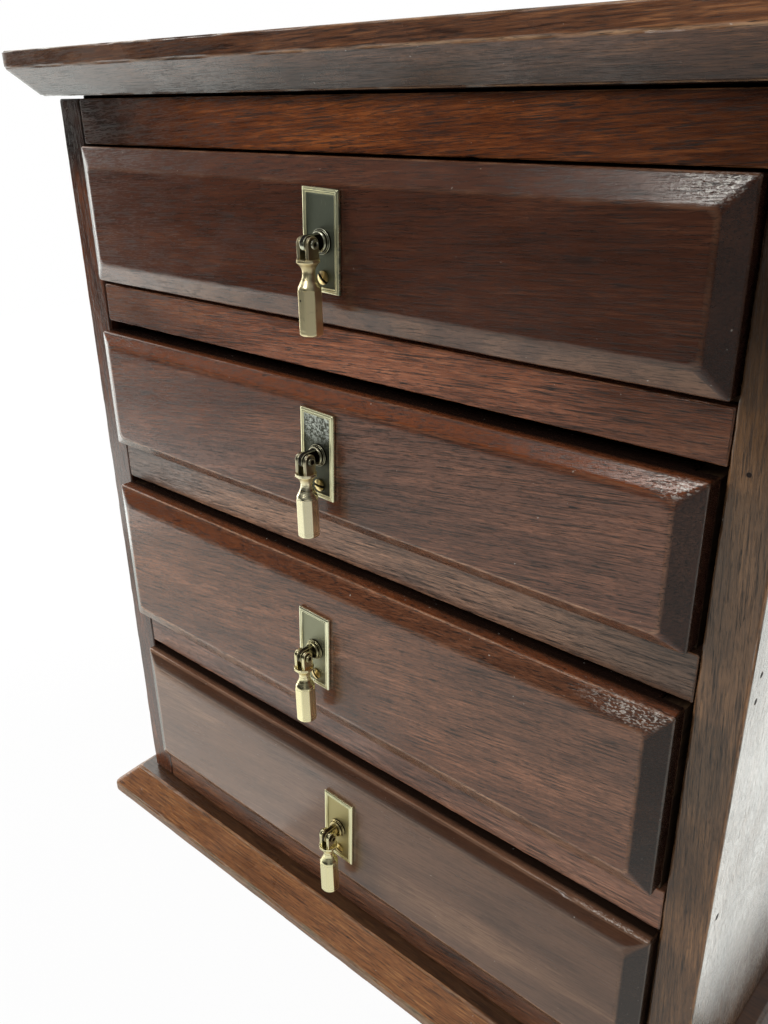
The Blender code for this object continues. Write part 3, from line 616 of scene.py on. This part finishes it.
# Painted light from the white table on the lower bevels, laid on in the pale colour of rubbed wood.
BEVEL_BOUNCE_LIGHT = (0.30, 0.25, 0.4, 0.25)
UNHANDLED = 0.12
MOUTH_SHADE = 0.95
BOX_PIECES = {"left_side": "y", "right_side": "y", "back": "x", "bottom": "x"}
# How dark the painted shade on the drawer boxes is at the front.
BOX_GAP_SHADE = 0.85


def resampled(path, marks, step):
    """A path with points added so that none is more than a step of its length from the next."""
    length = np.pad(np.cumsum(np.linalg.norm(np.diff(path, axis=0), axis=1)), (1, 0))
    places = np.unique(np.concatenate((length, np.arange(0, length[-1], step))))
    columns = [np.interp(places, length, column) for column in path.T]
    return np.stack(columns, 1), np.interp(places, length, marks)


for index, bevel_height in enumerate(FRONT_BEVEL_HEIGHTS):
    drawer = f"drawer_{index + 1}"
    low, high = corners_of(f"{drawer}_front")
    thick = high[1] - low[1]
    edge = thick - FRONT_BEVEL_DEPTH
    rise = bevel_height / FRONT_BEVEL_ENDS
    inner = np.array(((FRONT_REBATE, 0), (FRONT_REBATE, FRONT_LAP)))
    corners = ((0, FRONT_LAP + STEP_SLOPE), (0, edge), (FRONT_BEVEL_ENDS, thick),
               (FRONT_BEVEL_ENDS + FIELD_MARGIN, thick))
    outer, wear = resampled(*eased(corners, (FRONT_EDGE_ROUNDING, FRONT_FIELD_ROUNDINGS[index])), FRONT_STEP)
    soft, _ = eased(corners, (FRONT_EDGE_ROUNDING, FRONT_TOP_ROUNDINGS[index]))
    sag = np.where(outer[:, 0] > FRONT_EDGE_ROUNDING, outer[:, 1] - np.interp(outer[:, 0], *soft.T), 0)
    path = np.concatenate((inner, outer))
    wear, sag, heights = (np.pad(values, (len(inner), 0)) for values in (wear, sag, outer[:, 0] * rise))
    drawn_in = np.stack((path[:, 0], heights), 1)
    radii = np.interp(path[:, 1:], (edge, thick), (FRONT_CORNER, FIELD_CORNER))
    outline = loops(low[[0, 2]] + drawn_in, high[[0, 2]] - drawn_in, radii, corner_steps=MITRE_STEPS)
    below_top = outline[..., 1].max(1, keepdims=True) - outline[..., 1]
    level = high[1] - path[:, 1, None] + sag[:, None] * np.clip(1 - below_top / FRONT_TOP_FADE, 0, 1)
    points = lifted(outline, level, (0, 2, 1))
    shape = dented(points, wear, FRONT_DENTS, index + FRONT_SEED, FRONT_CHIPS[index])
    facing = normals(points)
    sideways, upward = np.abs(facing[..., 0]), facing[..., 2]
    ends_stain = END_GRAIN[index] * ramp(sideways, 0.20, 0.40)
    share_up = (points[..., 2] - low[2]) / (high[2] - low[2])
    rim = path[:, 1, None] < edge + FRONT_EDGE_ROUNDING
    lower_arris = ramp(upward, 0.02, -0.12)
    # Handling rubs the rims; on the lower arrises the rubbing is partly a painted highlight.
    handled = np.where(rim, RIM_WORN[index] * np.interp(share_up, (0.9, 1.0), (0.2, 1.0)),
                       UNHANDLED + (LOWER_ARRIS_RUB_AND_HIGHLIGHT[index] - UNHANDLED) * lower_arris)
    # Painted light from the table on the lower bevels.
    bounce_lit = BEVEL_BOUNCE_LIGHT[index] * ramp(upward, -0.30, -0.40)
    upper_edge = ramp(upward, 0.75, 0.95)
    mouth = high[1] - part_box("rail_1")[0].y
    forward = (path[:, 1, None] - mouth) / (edge - mouth)
    shaded = MOUTH_SHADE * upper_edge * ramp(forward, 0.70, 0.20)
    # Painted shade on the upper bevel.
    darkening = BEVEL_SHADE[index] * ramp(upward, 0.12, 0.36) * ~rim
    leftward = np.interp(points[..., 0], (-0.12, 0.08), (1.0, BLUSH_RIGHT[index]))
    edge_blush = EDGE_BLUSH[index] * upper_edge * ramp(forward, 0.25, 0.70)
    bevel_blush = leftward * BEVEL_BLUSH[index] * ramp(upward, 0.25, 0.40) * ~rim
    marks = {"wear": np.maximum(wear[:, None] * handled, bounce_lit),
             "stain_and_shade": np.maximum(ends_stain, np.maximum(shaded, darkening)),
             "blush": np.maximum(edge_blush, bevel_blush),
             "crazing_and_glint": ramp(upward, 0.08, 0.25)}
    # The crazed patch: its pale specks are painted glints.
    crazing_and_glint = (CRAZE_GLINT_PLACES[index] + (high[0], low[1], high[2]), CRAZE_GLINT_REACH[index])
    finish = mahogany(f"{drawer}_mahogany", "x", (0.37 * index, 0.23 * index, 0.61),
                      (*FRONT_TONES[index], FRONT_WORN_AND_LIT), polish=0.17, figured=0.3, lined=FRONT_LINED[index],
                      pores=FRONT_PORES[index], patina=0.25, rub=0.85, tilt=FRONT_TILTS[index],
                      shades=FRONT_SHADES[index], crazings_and_glints=(crazing_and_glint,))
    skin(f"{drawer}_face", [(shape, marks)], finish, f"{drawer}_front", drawer)
    for part, grain in BOX_PIECES.items():
        lining = lining_wood(f"{drawer}_{part}_lining", grain, (0.3 * index, 0.9, 0.5), BOX_GAP_SHADE)
        line_node(f"{drawer}_{part}", lining)

# The backplates: small cast brass plates with a moulded rim, an outer bevel and an inner bead with a
# groove between them, round a sunk field that has gone dark. One screw and the post hold each to its front.
PLATE_CORNER, CORNER_CLOSES, LEAST_RADIUS = 0.0004, 0.2, 0.0001
PLATE_RUN_STEPS = 24
PULLS = [(index, f"pull_{index + 1}", f"drawer_{index + 1}") for index in range(4)]
PLATE_PROFILE = np.array((
    (0.0, 0.0), (0.0, 0.30), (0.0, 0.62), (0.05, 0.72), (0.22, 0.82), (0.50, 0.94), (0.72, 1.0),
    (0.92, 1.0), (1.06, 0.94), (1.16, 0.82), (1.24, 0.77), (1.34, 0.79), (1.44, 0.88), (1.58, 0.92),
    (1.74, 0.92), (1.88, 0.84), (2.00, 0.66), (2.10, 0.54), (2.20, 0.50), (2.60, 0.50),
)) * (0.001, 1.0)
PLATE_INSETS, PLATE_HEIGHTS = PLATE_PROFILE.T
PLATE_HIGHS = ramp(PLATE_HEIGHTS, 0.66, 0.84) * np.interp(PLATE_INSETS, (0.0009, 0.0012), (0.5, 1))
PLATE_LOWS = np.where(PLATE_INSETS > 0.001, ramp(PLATE_HEIGHTS, 0.86, 0.70), 0)
PLATE_TARNISH, PLATE_DULL = (0.8, 0.5, 0.45, 0.3), 0.24
BRASS_CLEAN = ((250, 242, 200), (255, 248, 206), (253, 247, 212), (255, 248, 204))
BRASS_DARK = ((118, 121, 106), (86, 86, 74), (160, 158, 134), (188, 174, 126))
BRONZE, SPOT, BLOOM = tone(124, 118, 102), tone(52, 40, 28), tone(250, 252, 244)
PLATE_BLOOMS = {1: (0.2580, 0.2680)}
PLATE_TURNS = np.radians((-2.1, -2.6, -2.9, -2.8))
PLATE_SHIFTS = np.array((-0.4, -0.5, -0.5, 0.2)) * 0.001
BRASS_NOISE = (170, 170, 170, 3, 0.4), (1500, 1500, 1500, 2), (2400, 2400, 260, 2)
FIZZ = 1000, 1000, 1000, 6, 0.8
BRASS_BUMP, BRASS_RELIEF = 0.04, 0.00002


def tipped(points, centre, angle):
    """Points turned in the front plane about a centre, anticlockwise as the front is seen."""
    x, y, z = np.moveaxis(points - centre, -1, 0)
    across, upward = x * np.cos(angle) - z * np.sin(angle), x * np.sin(angle) + z * np.cos(angle)
    return np.stack((across, y, upward), -1) + centre


def aged_brass(name, shift, clean, dark, tarnish, dull, spots=(), bloom=()):
    """Brass gone brown: clean metal on the worn highs, dark patina in the hollows and in cloudy patches,
    with fine scratches. The patina is duller than the metal, and rubbing leaves the metal a little rough.
    Smoke that the mesh carries turns it to bronze, spots are dark round stains, and a bloom is a height
    above which the metal is mottled pale."""
    finish, tree, shader, place = new_finish(name)
    moved = node(tree, "Mapping", {"Vector": place, "Location": shift}).outputs[0]
    patch, speck, scratch = (mottle(moved, *noise) for noise in BRASS_NOISE)
    hollow, worn = carried(tree, "hollow"), carried(tree, "wear")
    film = weighted((spread(patch, 0.62 - 0.3 * tarnish, 0.80 - 0.3 * tarnish, 0.0, tarnish), 1.0),
                    (spread(speck, 0.62, 0.80, 0.0, 0.10), 1.0))
    film = calc("MULTIPLY", film, weighted((worn, -1.0), (1.0, 1.0)))
    film = spread(weighted((film, 1.0), (hollow, 0.95)), 0.0, 1.0)
    clean, dark = tone(*clean), tone(*dark)
    stains = [(round_spot(place, spot, 0.5), SPOT) for spot in spots]
    colour = coats(clean, (film, dark), (spread(scratch, 0.62, 0.78, 0.0, 0.08), clean),
                   (carried(tree, "smoke"), BRONZE), *stains)
    if bloom:
        rise = spread(node(tree, "SeparateXYZ", {0: place}).outputs["Z"], *bloom)
        fizz = spread(mottle(moved, *FIZZ), 0.40, 0.66, 0.0, 0.8)
        colour = coats(colour, (calc("MULTIPLY", calc("MULTIPLY", rise, fizz), hollow), BLOOM))
    rough = weighted((spread(film, 0.0, 1.0, dull, dull + 0.30), 1.0), (worn, 0.15))
    dress(tree, shader, colour, rough, weighted((speck, 1.0), (scratch, 1.0)), BRASS_BUMP, BRASS_RELIEF)
    shader.inputs["Metallic"].default_value = 1.0
    return finish


for index, pull, drawer in PULLS:
    low, high = corners_of(f"{pull}_backplate")
    inset, height = PLATE_PROFILE[:, :1], PLATE_HEIGHTS * (high[1] - low[1])
    radii = np.clip(PLATE_CORNER - inset * CORNER_CLOSES, LEAST_RADIUS, None)
    outline = loops(low[[0, 2]] + inset, high[[0, 2]] - inset, radii, PLATE_RUN_STEPS)
    points = lifted(outline, high[1] - height, (0, 2, 1))
    points = tipped(points, (low + high) / 2, PLATE_TURNS[index]) + (PLATE_SHIFTS[index], 0, 0)
    finish = aged_brass(f"{pull}_plate_brass", (0.11 * index, 0.4, 0.2), BRASS_CLEAN[index],
                        BRASS_DARK[index], PLATE_TARNISH[index], PLATE_DULL,
                        bloom=PLATE_BLOOMS.get(index, ()))
    stacks = [(points, {"wear": PLATE_HIGHS, "hollow": PLATE_LOWS})]
    skin(f"{pull}_plate", stacks, finish, f"{pull}_backplate", drawer)

# The posts: turned and filed brass bosses, each with a flange, a rounded body and a flat lug that is
# drilled for the cross pin. The shank goes through the front and is riveted inside.
FLANGE_RADIUS, FLANGE_HEIGHT, FLANGE_SUNK = 0.0044, 0.0009, 0.0002
BOSS_RADIUS, BOSS_HEIGHT, BOSS_FLAT = 0.0037, 0.0024, 0.0008
SHANK_RADIUS, RIVET_RADIUS, RIVET_THICKNESS, RIVET_FLAT = 0.0017, 0.0032, 0.0012, 0.0015
POST_ROUNDINGS = (0.0003, 0.0002, 0.0003, 0.0003, 0.0002, 0.0003, 0.0002, 0.0008)
LUG_RADIUS, LUG_THICKNESS = 0.0029, 0.0022
LUG_EDGE, LUG_JOIN = 0.0004, 0.0004
SQUARE_CORNER = 0.0002
BAR_RUN_STEPS, BAR_CORNER_STEPS = 6, 10
PLATE_SUNK = 0.0007
ROUND_STEPS = 48
POST_CLEAN = ((196, 194, 172), (182, 176, 150), (196, 186, 146), (206, 188, 138))
POST_DARK = ((36, 30, 24), (34, 26, 19), (48, 40, 28), (50, 38, 24))


def turned(path, centre, axis):
    """A profile of levels and radii carried round an axis through a centre: each pair is a circle of that
    radius at that level. The axis is x, or -y for a piece that faces the front."""
    angle = np.linspace(0, 2 * np.pi, ROUND_STEPS, endpoint=False)
    ring = path[:, 1:, None] * np.stack((np.cos(angle), np.sin(angle)), -1)
    points = lifted(ring, path[:, 0], (1, 2, 0)) if axis == "x" else lifted(ring, -path[:, 0], (0, 2, 1))
    return points + centre


def flat_bar(low, high, radii, edge):
    """A flat bar across x with its outline's corners rounded by radii and both rims eased: the outline in
    y and z, drawn in by an eased square profile, carried through the bar's thickness."""
    thick = high[0] - low[0]
    path, wear = eased(((2 * edge, 0), (0, 0), (0, thick), (2 * edge, thick)), (edge, edge))
    inset = path[:, :1]
    radii = np.clip(np.array(radii) - inset, LEAST_RADIUS, None)
    outline = loops(low[1:] + inset, high[1:] - inset, radii, BAR_RUN_STEPS, BAR_CORNER_STEPS)
    return lifted(outline, low[0] + path[:, 1], (1, 2, 0)), wear


def middle_of(name):
    """The middle of a CAD node's box."""
    return np.mean(corners_of(name), 0)


for index, pull, drawer in PULLS:
    pin = middle_of(f"{pull}_pin")
    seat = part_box(f"{pull}_backplate")[0].y + PLATE_SUNK
    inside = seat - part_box(f"{pull}_post")[1].y
    neck = inside + RIVET_THICKNESS
    profile = ((inside, RIVET_FLAT), (inside, RIVET_RADIUS), (neck, RIVET_RADIUS), (neck, SHANK_RADIUS),
               (-FLANGE_SUNK, SHANK_RADIUS), (-FLANGE_SUNK, FLANGE_RADIUS), (FLANGE_HEIGHT, FLANGE_RADIUS),
               (FLANGE_HEIGHT, BOSS_RADIUS), (BOSS_HEIGHT, BOSS_RADIUS), (BOSS_HEIGHT, BOSS_FLAT))
    path, wear = eased(profile, POST_ROUNDINGS)
    boss = turned(path, (pin[0], seat, pin[2]), "-y")
    reach = np.array((LUG_THICKNESS / 2, LUG_RADIUS, LUG_RADIUS))
    lug_high = pin + reach
    lug_high[1] = seat - BOSS_HEIGHT + LUG_JOIN
    radii = (SQUARE_CORNER, SQUARE_CORNER, LUG_RADIUS, LUG_RADIUS)
    lug, lug_wear = flat_bar(pin - reach, lug_high, radii, LUG_EDGE)
    finish = aged_brass(f"{pull}_post_brass", (0.2, 0.13 * index, 0.7), POST_CLEAN[index], POST_DARK[index],
                        tarnish=1.0, dull=0.18)
    stacks = [(boss, {"wear": wear, "hollow": 0 * wear}), (lug, {"wear": lug_wear, "hollow": 0 * lug_wear})]
    skin(f"{pull}_boss", stacks, finish, f"{pull}_post", drawer)

# The cross pins: short brass pins through the lug and both ears. Each end is upset into a round head with a
# raised ring and a hollow middle.
PIN_HALF = np.array((
    (-3.72, 0.30), (-3.72, 0.72), (-3.78, 0.86), (-3.94, 1.00), (-4.00, 1.16), (-3.97, 1.36), (-3.86, 1.56),
    (-3.70, 1.67), (-3.42, 1.70), (-3.40, 1.66), (-3.40, 0.84), (-3.36, 0.80),
)) * 0.001

for index, pull, drawer in PULLS:
    pin = middle_of(f"{pull}_pin")
    path = np.concatenate((PIN_HALF, PIN_HALF[::-1] * (-1, 1)))
    ring = ramp(np.abs(path[:, 0]), 0.00385, 0.004)
    hollow = ramp(path[:, 1], 0.0010, 0.0006)
    finish = aged_brass(f"{pull}_pin_brass", (0.5, 0.2 * index, 0.1), POST_CLEAN[index], POST_DARK[index],
                        tarnish=0.9, dull=0.28)
    stacks = [(turned(path, pin, "x"), {"wear": ring, "hollow": hollow})]
    skin(f"{pull}_rivet_pin", stacks, finish, f"{pull}_pin", drawer)

# The drops: cast and filed brass, an eight-sided body under a cone, a waisted neck and a flared collar, from
# which two ears rise to hang on the cross pin. Handling keeps the lower ones bright.
DROP_PROFILE = np.array((
    (-31.20, 1.60), (-31.20, 3.70), (-30.30, 4.60), (-29.20, 5.30), (-15.35, 5.30), (-15.20, 4.20),
    (-14.30, 4.05), (-12.70, 3.10), (-10.80, 2.30), (-8.20, 2.30), (-6.20, 3.80), (-6.00, 4.30),
    (-5.00, 4.30), (-5.00, 1.60),
)) * 0.001
DROP_ROUNDINGS = np.array((0.60, 0.50, 0.50, 0.10, 0.05, 0.40, 0.80, 0.90, 1.30, 1.20, 0.15, 0.30)) * 0.001
DROP_FLAT = 0.0041
DROP_SIDES = 8
DROP_ARRIS_POWER = 70
ARRIS_FROM, ARRIS_REACH = 1.03, 0.045
WAIST_LEVELS, WAIST_DARK = (-0.0105, -0.0092, -0.0070, -0.0058), (0, 0.25, 0.6, 0)
DROP_MEET = 0.00012
DROP_STEP = 0.00035
DROP_ROUND_STEPS = 128
EAR_RADIUS, EAR_INNER, EAR_OUTER = 0.0026, 0.0014, 0.0029
EAR_EDGE = 0.0004
EAR_FOOT = 0.0054
DROP_CLEAN = ((246, 228, 184), (255, 242, 206), (255, 241, 194), (255, 244, 196))
DROP_DULL = (0.30, 0.22, 0.22, 0.22)
DROP_DARK = ((150, 128, 86), (198, 174, 126), (198, 174, 126), (216, 192, 140))
DROP_TARNISH = (0.40, 0.14, 0.12, 0.08)
EAR_SMOKE = (0.65, 0.65, 0.25, 0.25)
DROP_SPOTS = {0: ((0.0020, -0.1246, 0.3166, 0.0006),)}


def drop_body(pin):
    """A turned profile cut by eight flats: at each level and angle the radius is the soft smaller of the
    profile's radius and that of an eight-sided prism, whose arrises are rounded by a power mean."""
    path, worn = resampled(*eased(DROP_PROFILE, DROP_ROUNDINGS), DROP_STEP)
    angle = np.linspace(0, 2 * np.pi, DROP_ROUND_STEPS, endpoint=False)
    facing = np.cos(angle[:, None] - np.arange(DROP_SIDES) * 2 * np.pi / DROP_SIDES).clip(0)
    prism = DROP_FLAT / (facing ** DROP_ARRIS_POWER).sum(1) ** (1 / DROP_ARRIS_POWER)
    both = np.stack(np.broadcast_arrays(path[:, 1:], prism))
    radius = -DROP_MEET * np.log(np.exp(-both / DROP_MEET).sum(0))
    radius = np.minimum(radius, path[:, 1:])
    level = np.broadcast_to(path[:, :1], radius.shape)
    points = np.stack((radius * np.cos(angle), radius * np.sin(angle), level), -1)
    arris = np.clip((radius - DROP_FLAT * ARRIS_FROM) / (DROP_FLAT * ARRIS_REACH), 0, 1)
    hollow = np.interp(path[:, 0], WAIST_LEVELS, WAIST_DARK)
    wear = np.maximum(arris, worn[:, None] * 0.7)
    return points + pin, {"wear": wear, "hollow": hollow, "smoke": 0 * hollow}


for index, pull, drawer in PULLS:
    pin = middle_of(f"{pull}_pin")
    stacks = [drop_body(pin)]
    for inner, outer in ((-EAR_OUTER, -EAR_INNER), (EAR_INNER, EAR_OUTER)):
        ear, wear = flat_bar(pin + (inner, -EAR_RADIUS, -EAR_FOOT), pin + (outer, EAR_RADIUS, EAR_RADIUS),
                             (SQUARE_CORNER, EAR_RADIUS, EAR_RADIUS, SQUARE_CORNER), EAR_EDGE)
        stacks.append((ear, {"wear": wear * 0.6, "hollow": EAR_SMOKE[index] * (0.6 - 0.4 * wear),
                             "smoke": EAR_SMOKE[index] * (1 - 0.5 * wear)}))
    finish = aged_brass(f"{pull}_drop_brass", (0.3 * index, 0.6, 0.15), DROP_CLEAN[index], DROP_DARK[index],
                        DROP_TARNISH[index], DROP_DULL[index], DROP_SPOTS.get(index, ()))
    skin(f"{pull}_octagon", stacks, finish, f"{pull}_drop", f"drop_{index + 1}")

# The backplate screws: small round-headed brass screws, one low on each plate, with a filed slot that was
# left at whatever turn it tightened to.
SCREW_RADIUS, SCREW_HEIGHT, SCREW_RIM = 0.0024, 0.0009, 0.0003
SLOT_WIDTH, SLOT_DEPTH = 0.0011, 0.0006
SLOT_TURNS = np.radians((47, 84, 40, 60))
SCREW_COLUMNS, SCREW_ROWS, SCREW_REACH = 9, 19, 0.99
SCREW_SINK = 0.0002
SCREW_CLEAN = ((240, 214, 156), (248, 224, 160), (240, 214, 156), (250, 226, 164))


def slotted_head(centre, turn):
    """A domed disc with a slot: upright slices across the slot, each a chord of the disc with the dome
    above it and a flat below. The dome falls off with the square of the radius, and the slices between
    the slot's walls are cut down to its floor."""
    wall = SLOT_WIDTH / 2
    outer = SCREW_RADIUS * SCREW_REACH * np.sin(np.linspace(np.pi / 2, 0, SCREW_COLUMNS))
    outer = outer[outer > wall]
    across = np.concatenate((-outer, (-wall, -wall, wall, wall), outer[::-1]))
    sunk = np.concatenate((0 * outer, (0, 1, 1, 0), 0 * outer))[:, None]
    share = np.linspace(-1, 1, SCREW_ROWS)
    along = np.sqrt(SCREW_RADIUS ** 2 - across[:, None] ** 2) * share
    radius = np.hypot(across[:, None], along) / SCREW_RADIUS
    dome = SCREW_RIM + (SCREW_HEIGHT - SCREW_RIM) * (1 - radius ** 2)
    top = np.where(sunk > 0, np.minimum(dome, SCREW_HEIGHT - SLOT_DEPTH), dome)
    along = np.concatenate((along, along[:, ::-1]), 1)
    out = np.concatenate((np.full_like(top, -SCREW_SINK), top[:, ::-1]), 1)
    head = np.stack(np.broadcast_arrays(across[:, None], -out, along), -1)
    floor = np.broadcast_to(sunk, along.shape)
    return tipped(head, np.zeros(3), turn) + centre, {"wear": 0 * floor, "hollow": floor}


for index, pull, drawer in PULLS:
    low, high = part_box(f"{pull}_screw")
    head = np.array(((low.x + high.x) / 2, low.y + SCREW_HEIGHT, (low.z + high.z) / 2))
    finish = aged_brass(f"{pull}_screw_brass", (0.4, 0.5, 0.3 * index), SCREW_CLEAN[index], POST_DARK[index],
                        tarnish=0.2, dull=0.34)
    stacks = [slotted_head(head, SLOT_TURNS[index])]
    skin(f"{pull}_slotted_screw", stacks, finish, f"{pull}_screw", drawer)

# The studio: a white table under soft white light, most of it from a window at the left. What the polish and
# the brass mirror are plain cards: a dim room in front, a bright panel at the left and patches of the table.
TABLE_HALF = 1.5
TABLE_DROP = 0.0004
TABLE_WHITE = 0.90
TABLE_GLOW = 0.92
ROOM_PLACE = -0.80
ROOM_LEFT, ROOM_PART, ROOM_RIGHT = -4.0, 0.35, 2.5
ROOM_DARK, ROOM_HEIGHT = 0.62, 3.0
CARD_LIFT, LAMP_FORWARD = 0.001, 0.005
SKY_LIGHT = 0.24
CARD_TINT = (0.97, 1.0, 0.96, 1.0)
TABLE_TINT = (0.94, 1.0, 0.93, 1.0)
WHITE = (1.0, 1.0, 1.0, 1.0)


def sheet(name, finish, axis, place, first, second):
    """A flat stage panel that lies across an axis at a place and fills its spans along the other two."""
    corners = ((first[0], second[0]), (first[1], second[0]), (first[1], second[1]), (first[0], second[1]))
    mesh = bpy.data.meshes.new(name)
    mesh.from_pydata([np.insert(pair, "xyz".index(axis), place) for pair in corners], [], [(0, 1, 2, 3)])
    mesh.materials.append(finish)
    made = in_scene(name, mesh)
    made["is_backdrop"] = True
    return made


def mirrored_card(name, level, panel):
    """A stage panel of one even brightness that shows only in polish and metal, and lights nothing."""
    finish, tree, shader, _ = new_finish(name)
    glow = node(tree, "Emission", {"Color": CARD_TINT, "Strength": level}).outputs[0]
    tree.links.new(glow, tree.nodes["Material Output"].inputs["Surface"])
    tree.nodes.remove(shader)
    card = sheet(name, finish, *panel)
    for ray in ("camera", "diffuse", "transmission", "shadow"):
        setattr(card, f"visible_{ray}", False)


def seen_directly(tree):
    """One for rays that look at a surface or mirror it, and none for rays that only carry light."""
    path = node(tree, "LightPath").outputs
    mirrored = calc("MAXIMUM", path["Is Glossy Ray"], path["Is Transmission Ray"])
    return calc("MAXIMUM", path["Is Camera Ray"], mirrored)


def lamp(name, place, aim, size, power):
    """A square soft lamp at a place, turned to face a point. Its own shape isn't mirrored."""
    made = in_scene(name, bpy.data.lights.new(name, "AREA"))
    made.data.shape = "SQUARE"
    made.data.size = size
    made.data.energy = power
    heading = Vector(place) - Vector(aim)
    made.matrix_world = Matrix.Translation(place) @ heading.to_track_quat("Z", "Y").to_matrix().to_4x4()
    made.visible_glossy = False


table_finish, tree, shader, _ = new_finish("white_table")
white = node(tree, "BsdfDiffuse", {"Color": (TABLE_WHITE, TABLE_WHITE, TABLE_WHITE, 1.0)}).outputs[0]
sight = node(tree, "LightPath").outputs["Is Camera Ray"]
glow = node(tree, "Emission", {"Color": coats(TABLE_TINT, (sight, WHITE)), "Strength": 1.0}).outputs[0]
share = calc("MULTIPLY", seen_directly(tree), TABLE_GLOW)
mixed = node(tree, "MixShader", {0: share, 1: white, 2: glow}).outputs[0]
tree.links.new(mixed, tree.nodes["Material Output"].inputs["Surface"])
tree.nodes.remove(shader)
table_span = (-TABLE_HALF, TABLE_HALF)
sheet("table", table_finish, "z", -TABLE_DROP, table_span, table_span)
MIRRORED = {
    "dim_room": ("y", ROOM_PLACE, (ROOM_LEFT, ROOM_PART), (0.0, ROOM_DARK), 0.02),
    "right_room": ("y", ROOM_PLACE, (ROOM_PART, ROOM_RIGHT), (0.0, ROOM_DARK), 0.25),
    "upper_room": ("y", ROOM_PLACE, (ROOM_LEFT, ROOM_RIGHT), (ROOM_DARK, ROOM_HEIGHT), 0.22),
    "high_lamp": ("y", ROOM_PLACE + LAMP_FORWARD, (-0.30, 0.05), (0.78, 1.20), 9.0),
    "right_wall": ("x", 0.9, (ROOM_PLACE, 0.0), (0.0, 1.5), 0.06),
    "left_panel": ("x", -1.3, (-0.42, 0.9), (0.0, 1.4), 3.6),
    "bright_table": ("z", CARD_LIFT, (-1.5, -0.49), (-0.49, 0.5), 2.2),
    "left_shade": ("z", CARD_LIFT, (-1.3, -0.62), (ROOM_PLACE, -0.49), 0.45),
    "side_table": ("z", CARD_LIFT, (0.186, 0.9), (-0.04, 1.4), 2.5),
    "near_cloth": ("z", CARD_LIFT, (0.12, 0.9), (ROOM_PLACE, -0.27), 0.50),
    "front_shade": ("z", CARD_LIFT, (-0.08, 0.30), (-0.27, -0.13), 0.70),
    "front_table": ("z", CARD_LIFT, (-0.40, -0.08), (-0.24, -0.13), 1.35),
}
for name, (*panel, level) in MIRRORED.items():
    mirrored_card(name, level, panel)
lamp("window", (-2.9, -1.1, 0.95), (0.0, -0.1, 0.2), 1.4, 150.0)
lamp("above", (-0.1, -0.7, 1.6), (0.0, -0.05, 0.2), 1.3, 9.0)
lamp("behind", (0.7, 1.2, 1.2), (0.4, 0.5, 0.0), 0.8, 14.0)

world = bpy.data.worlds.new("soft_white")
bpy.context.scene.world = world
world.use_nodes = True
tree = world.node_tree
level = spread(seen_directly(tree), 0.0, 1.0, SKY_LIGHT, 1.0)
tree.links.new(level, tree.nodes["Background"].inputs["Strength"])
tree.nodes["Background"].inputs["Color"].default_value = WHITE
bpy.context.scene.view_settings.view_transform = "Standard"

bpy.context.view_layer.update()
low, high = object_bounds()
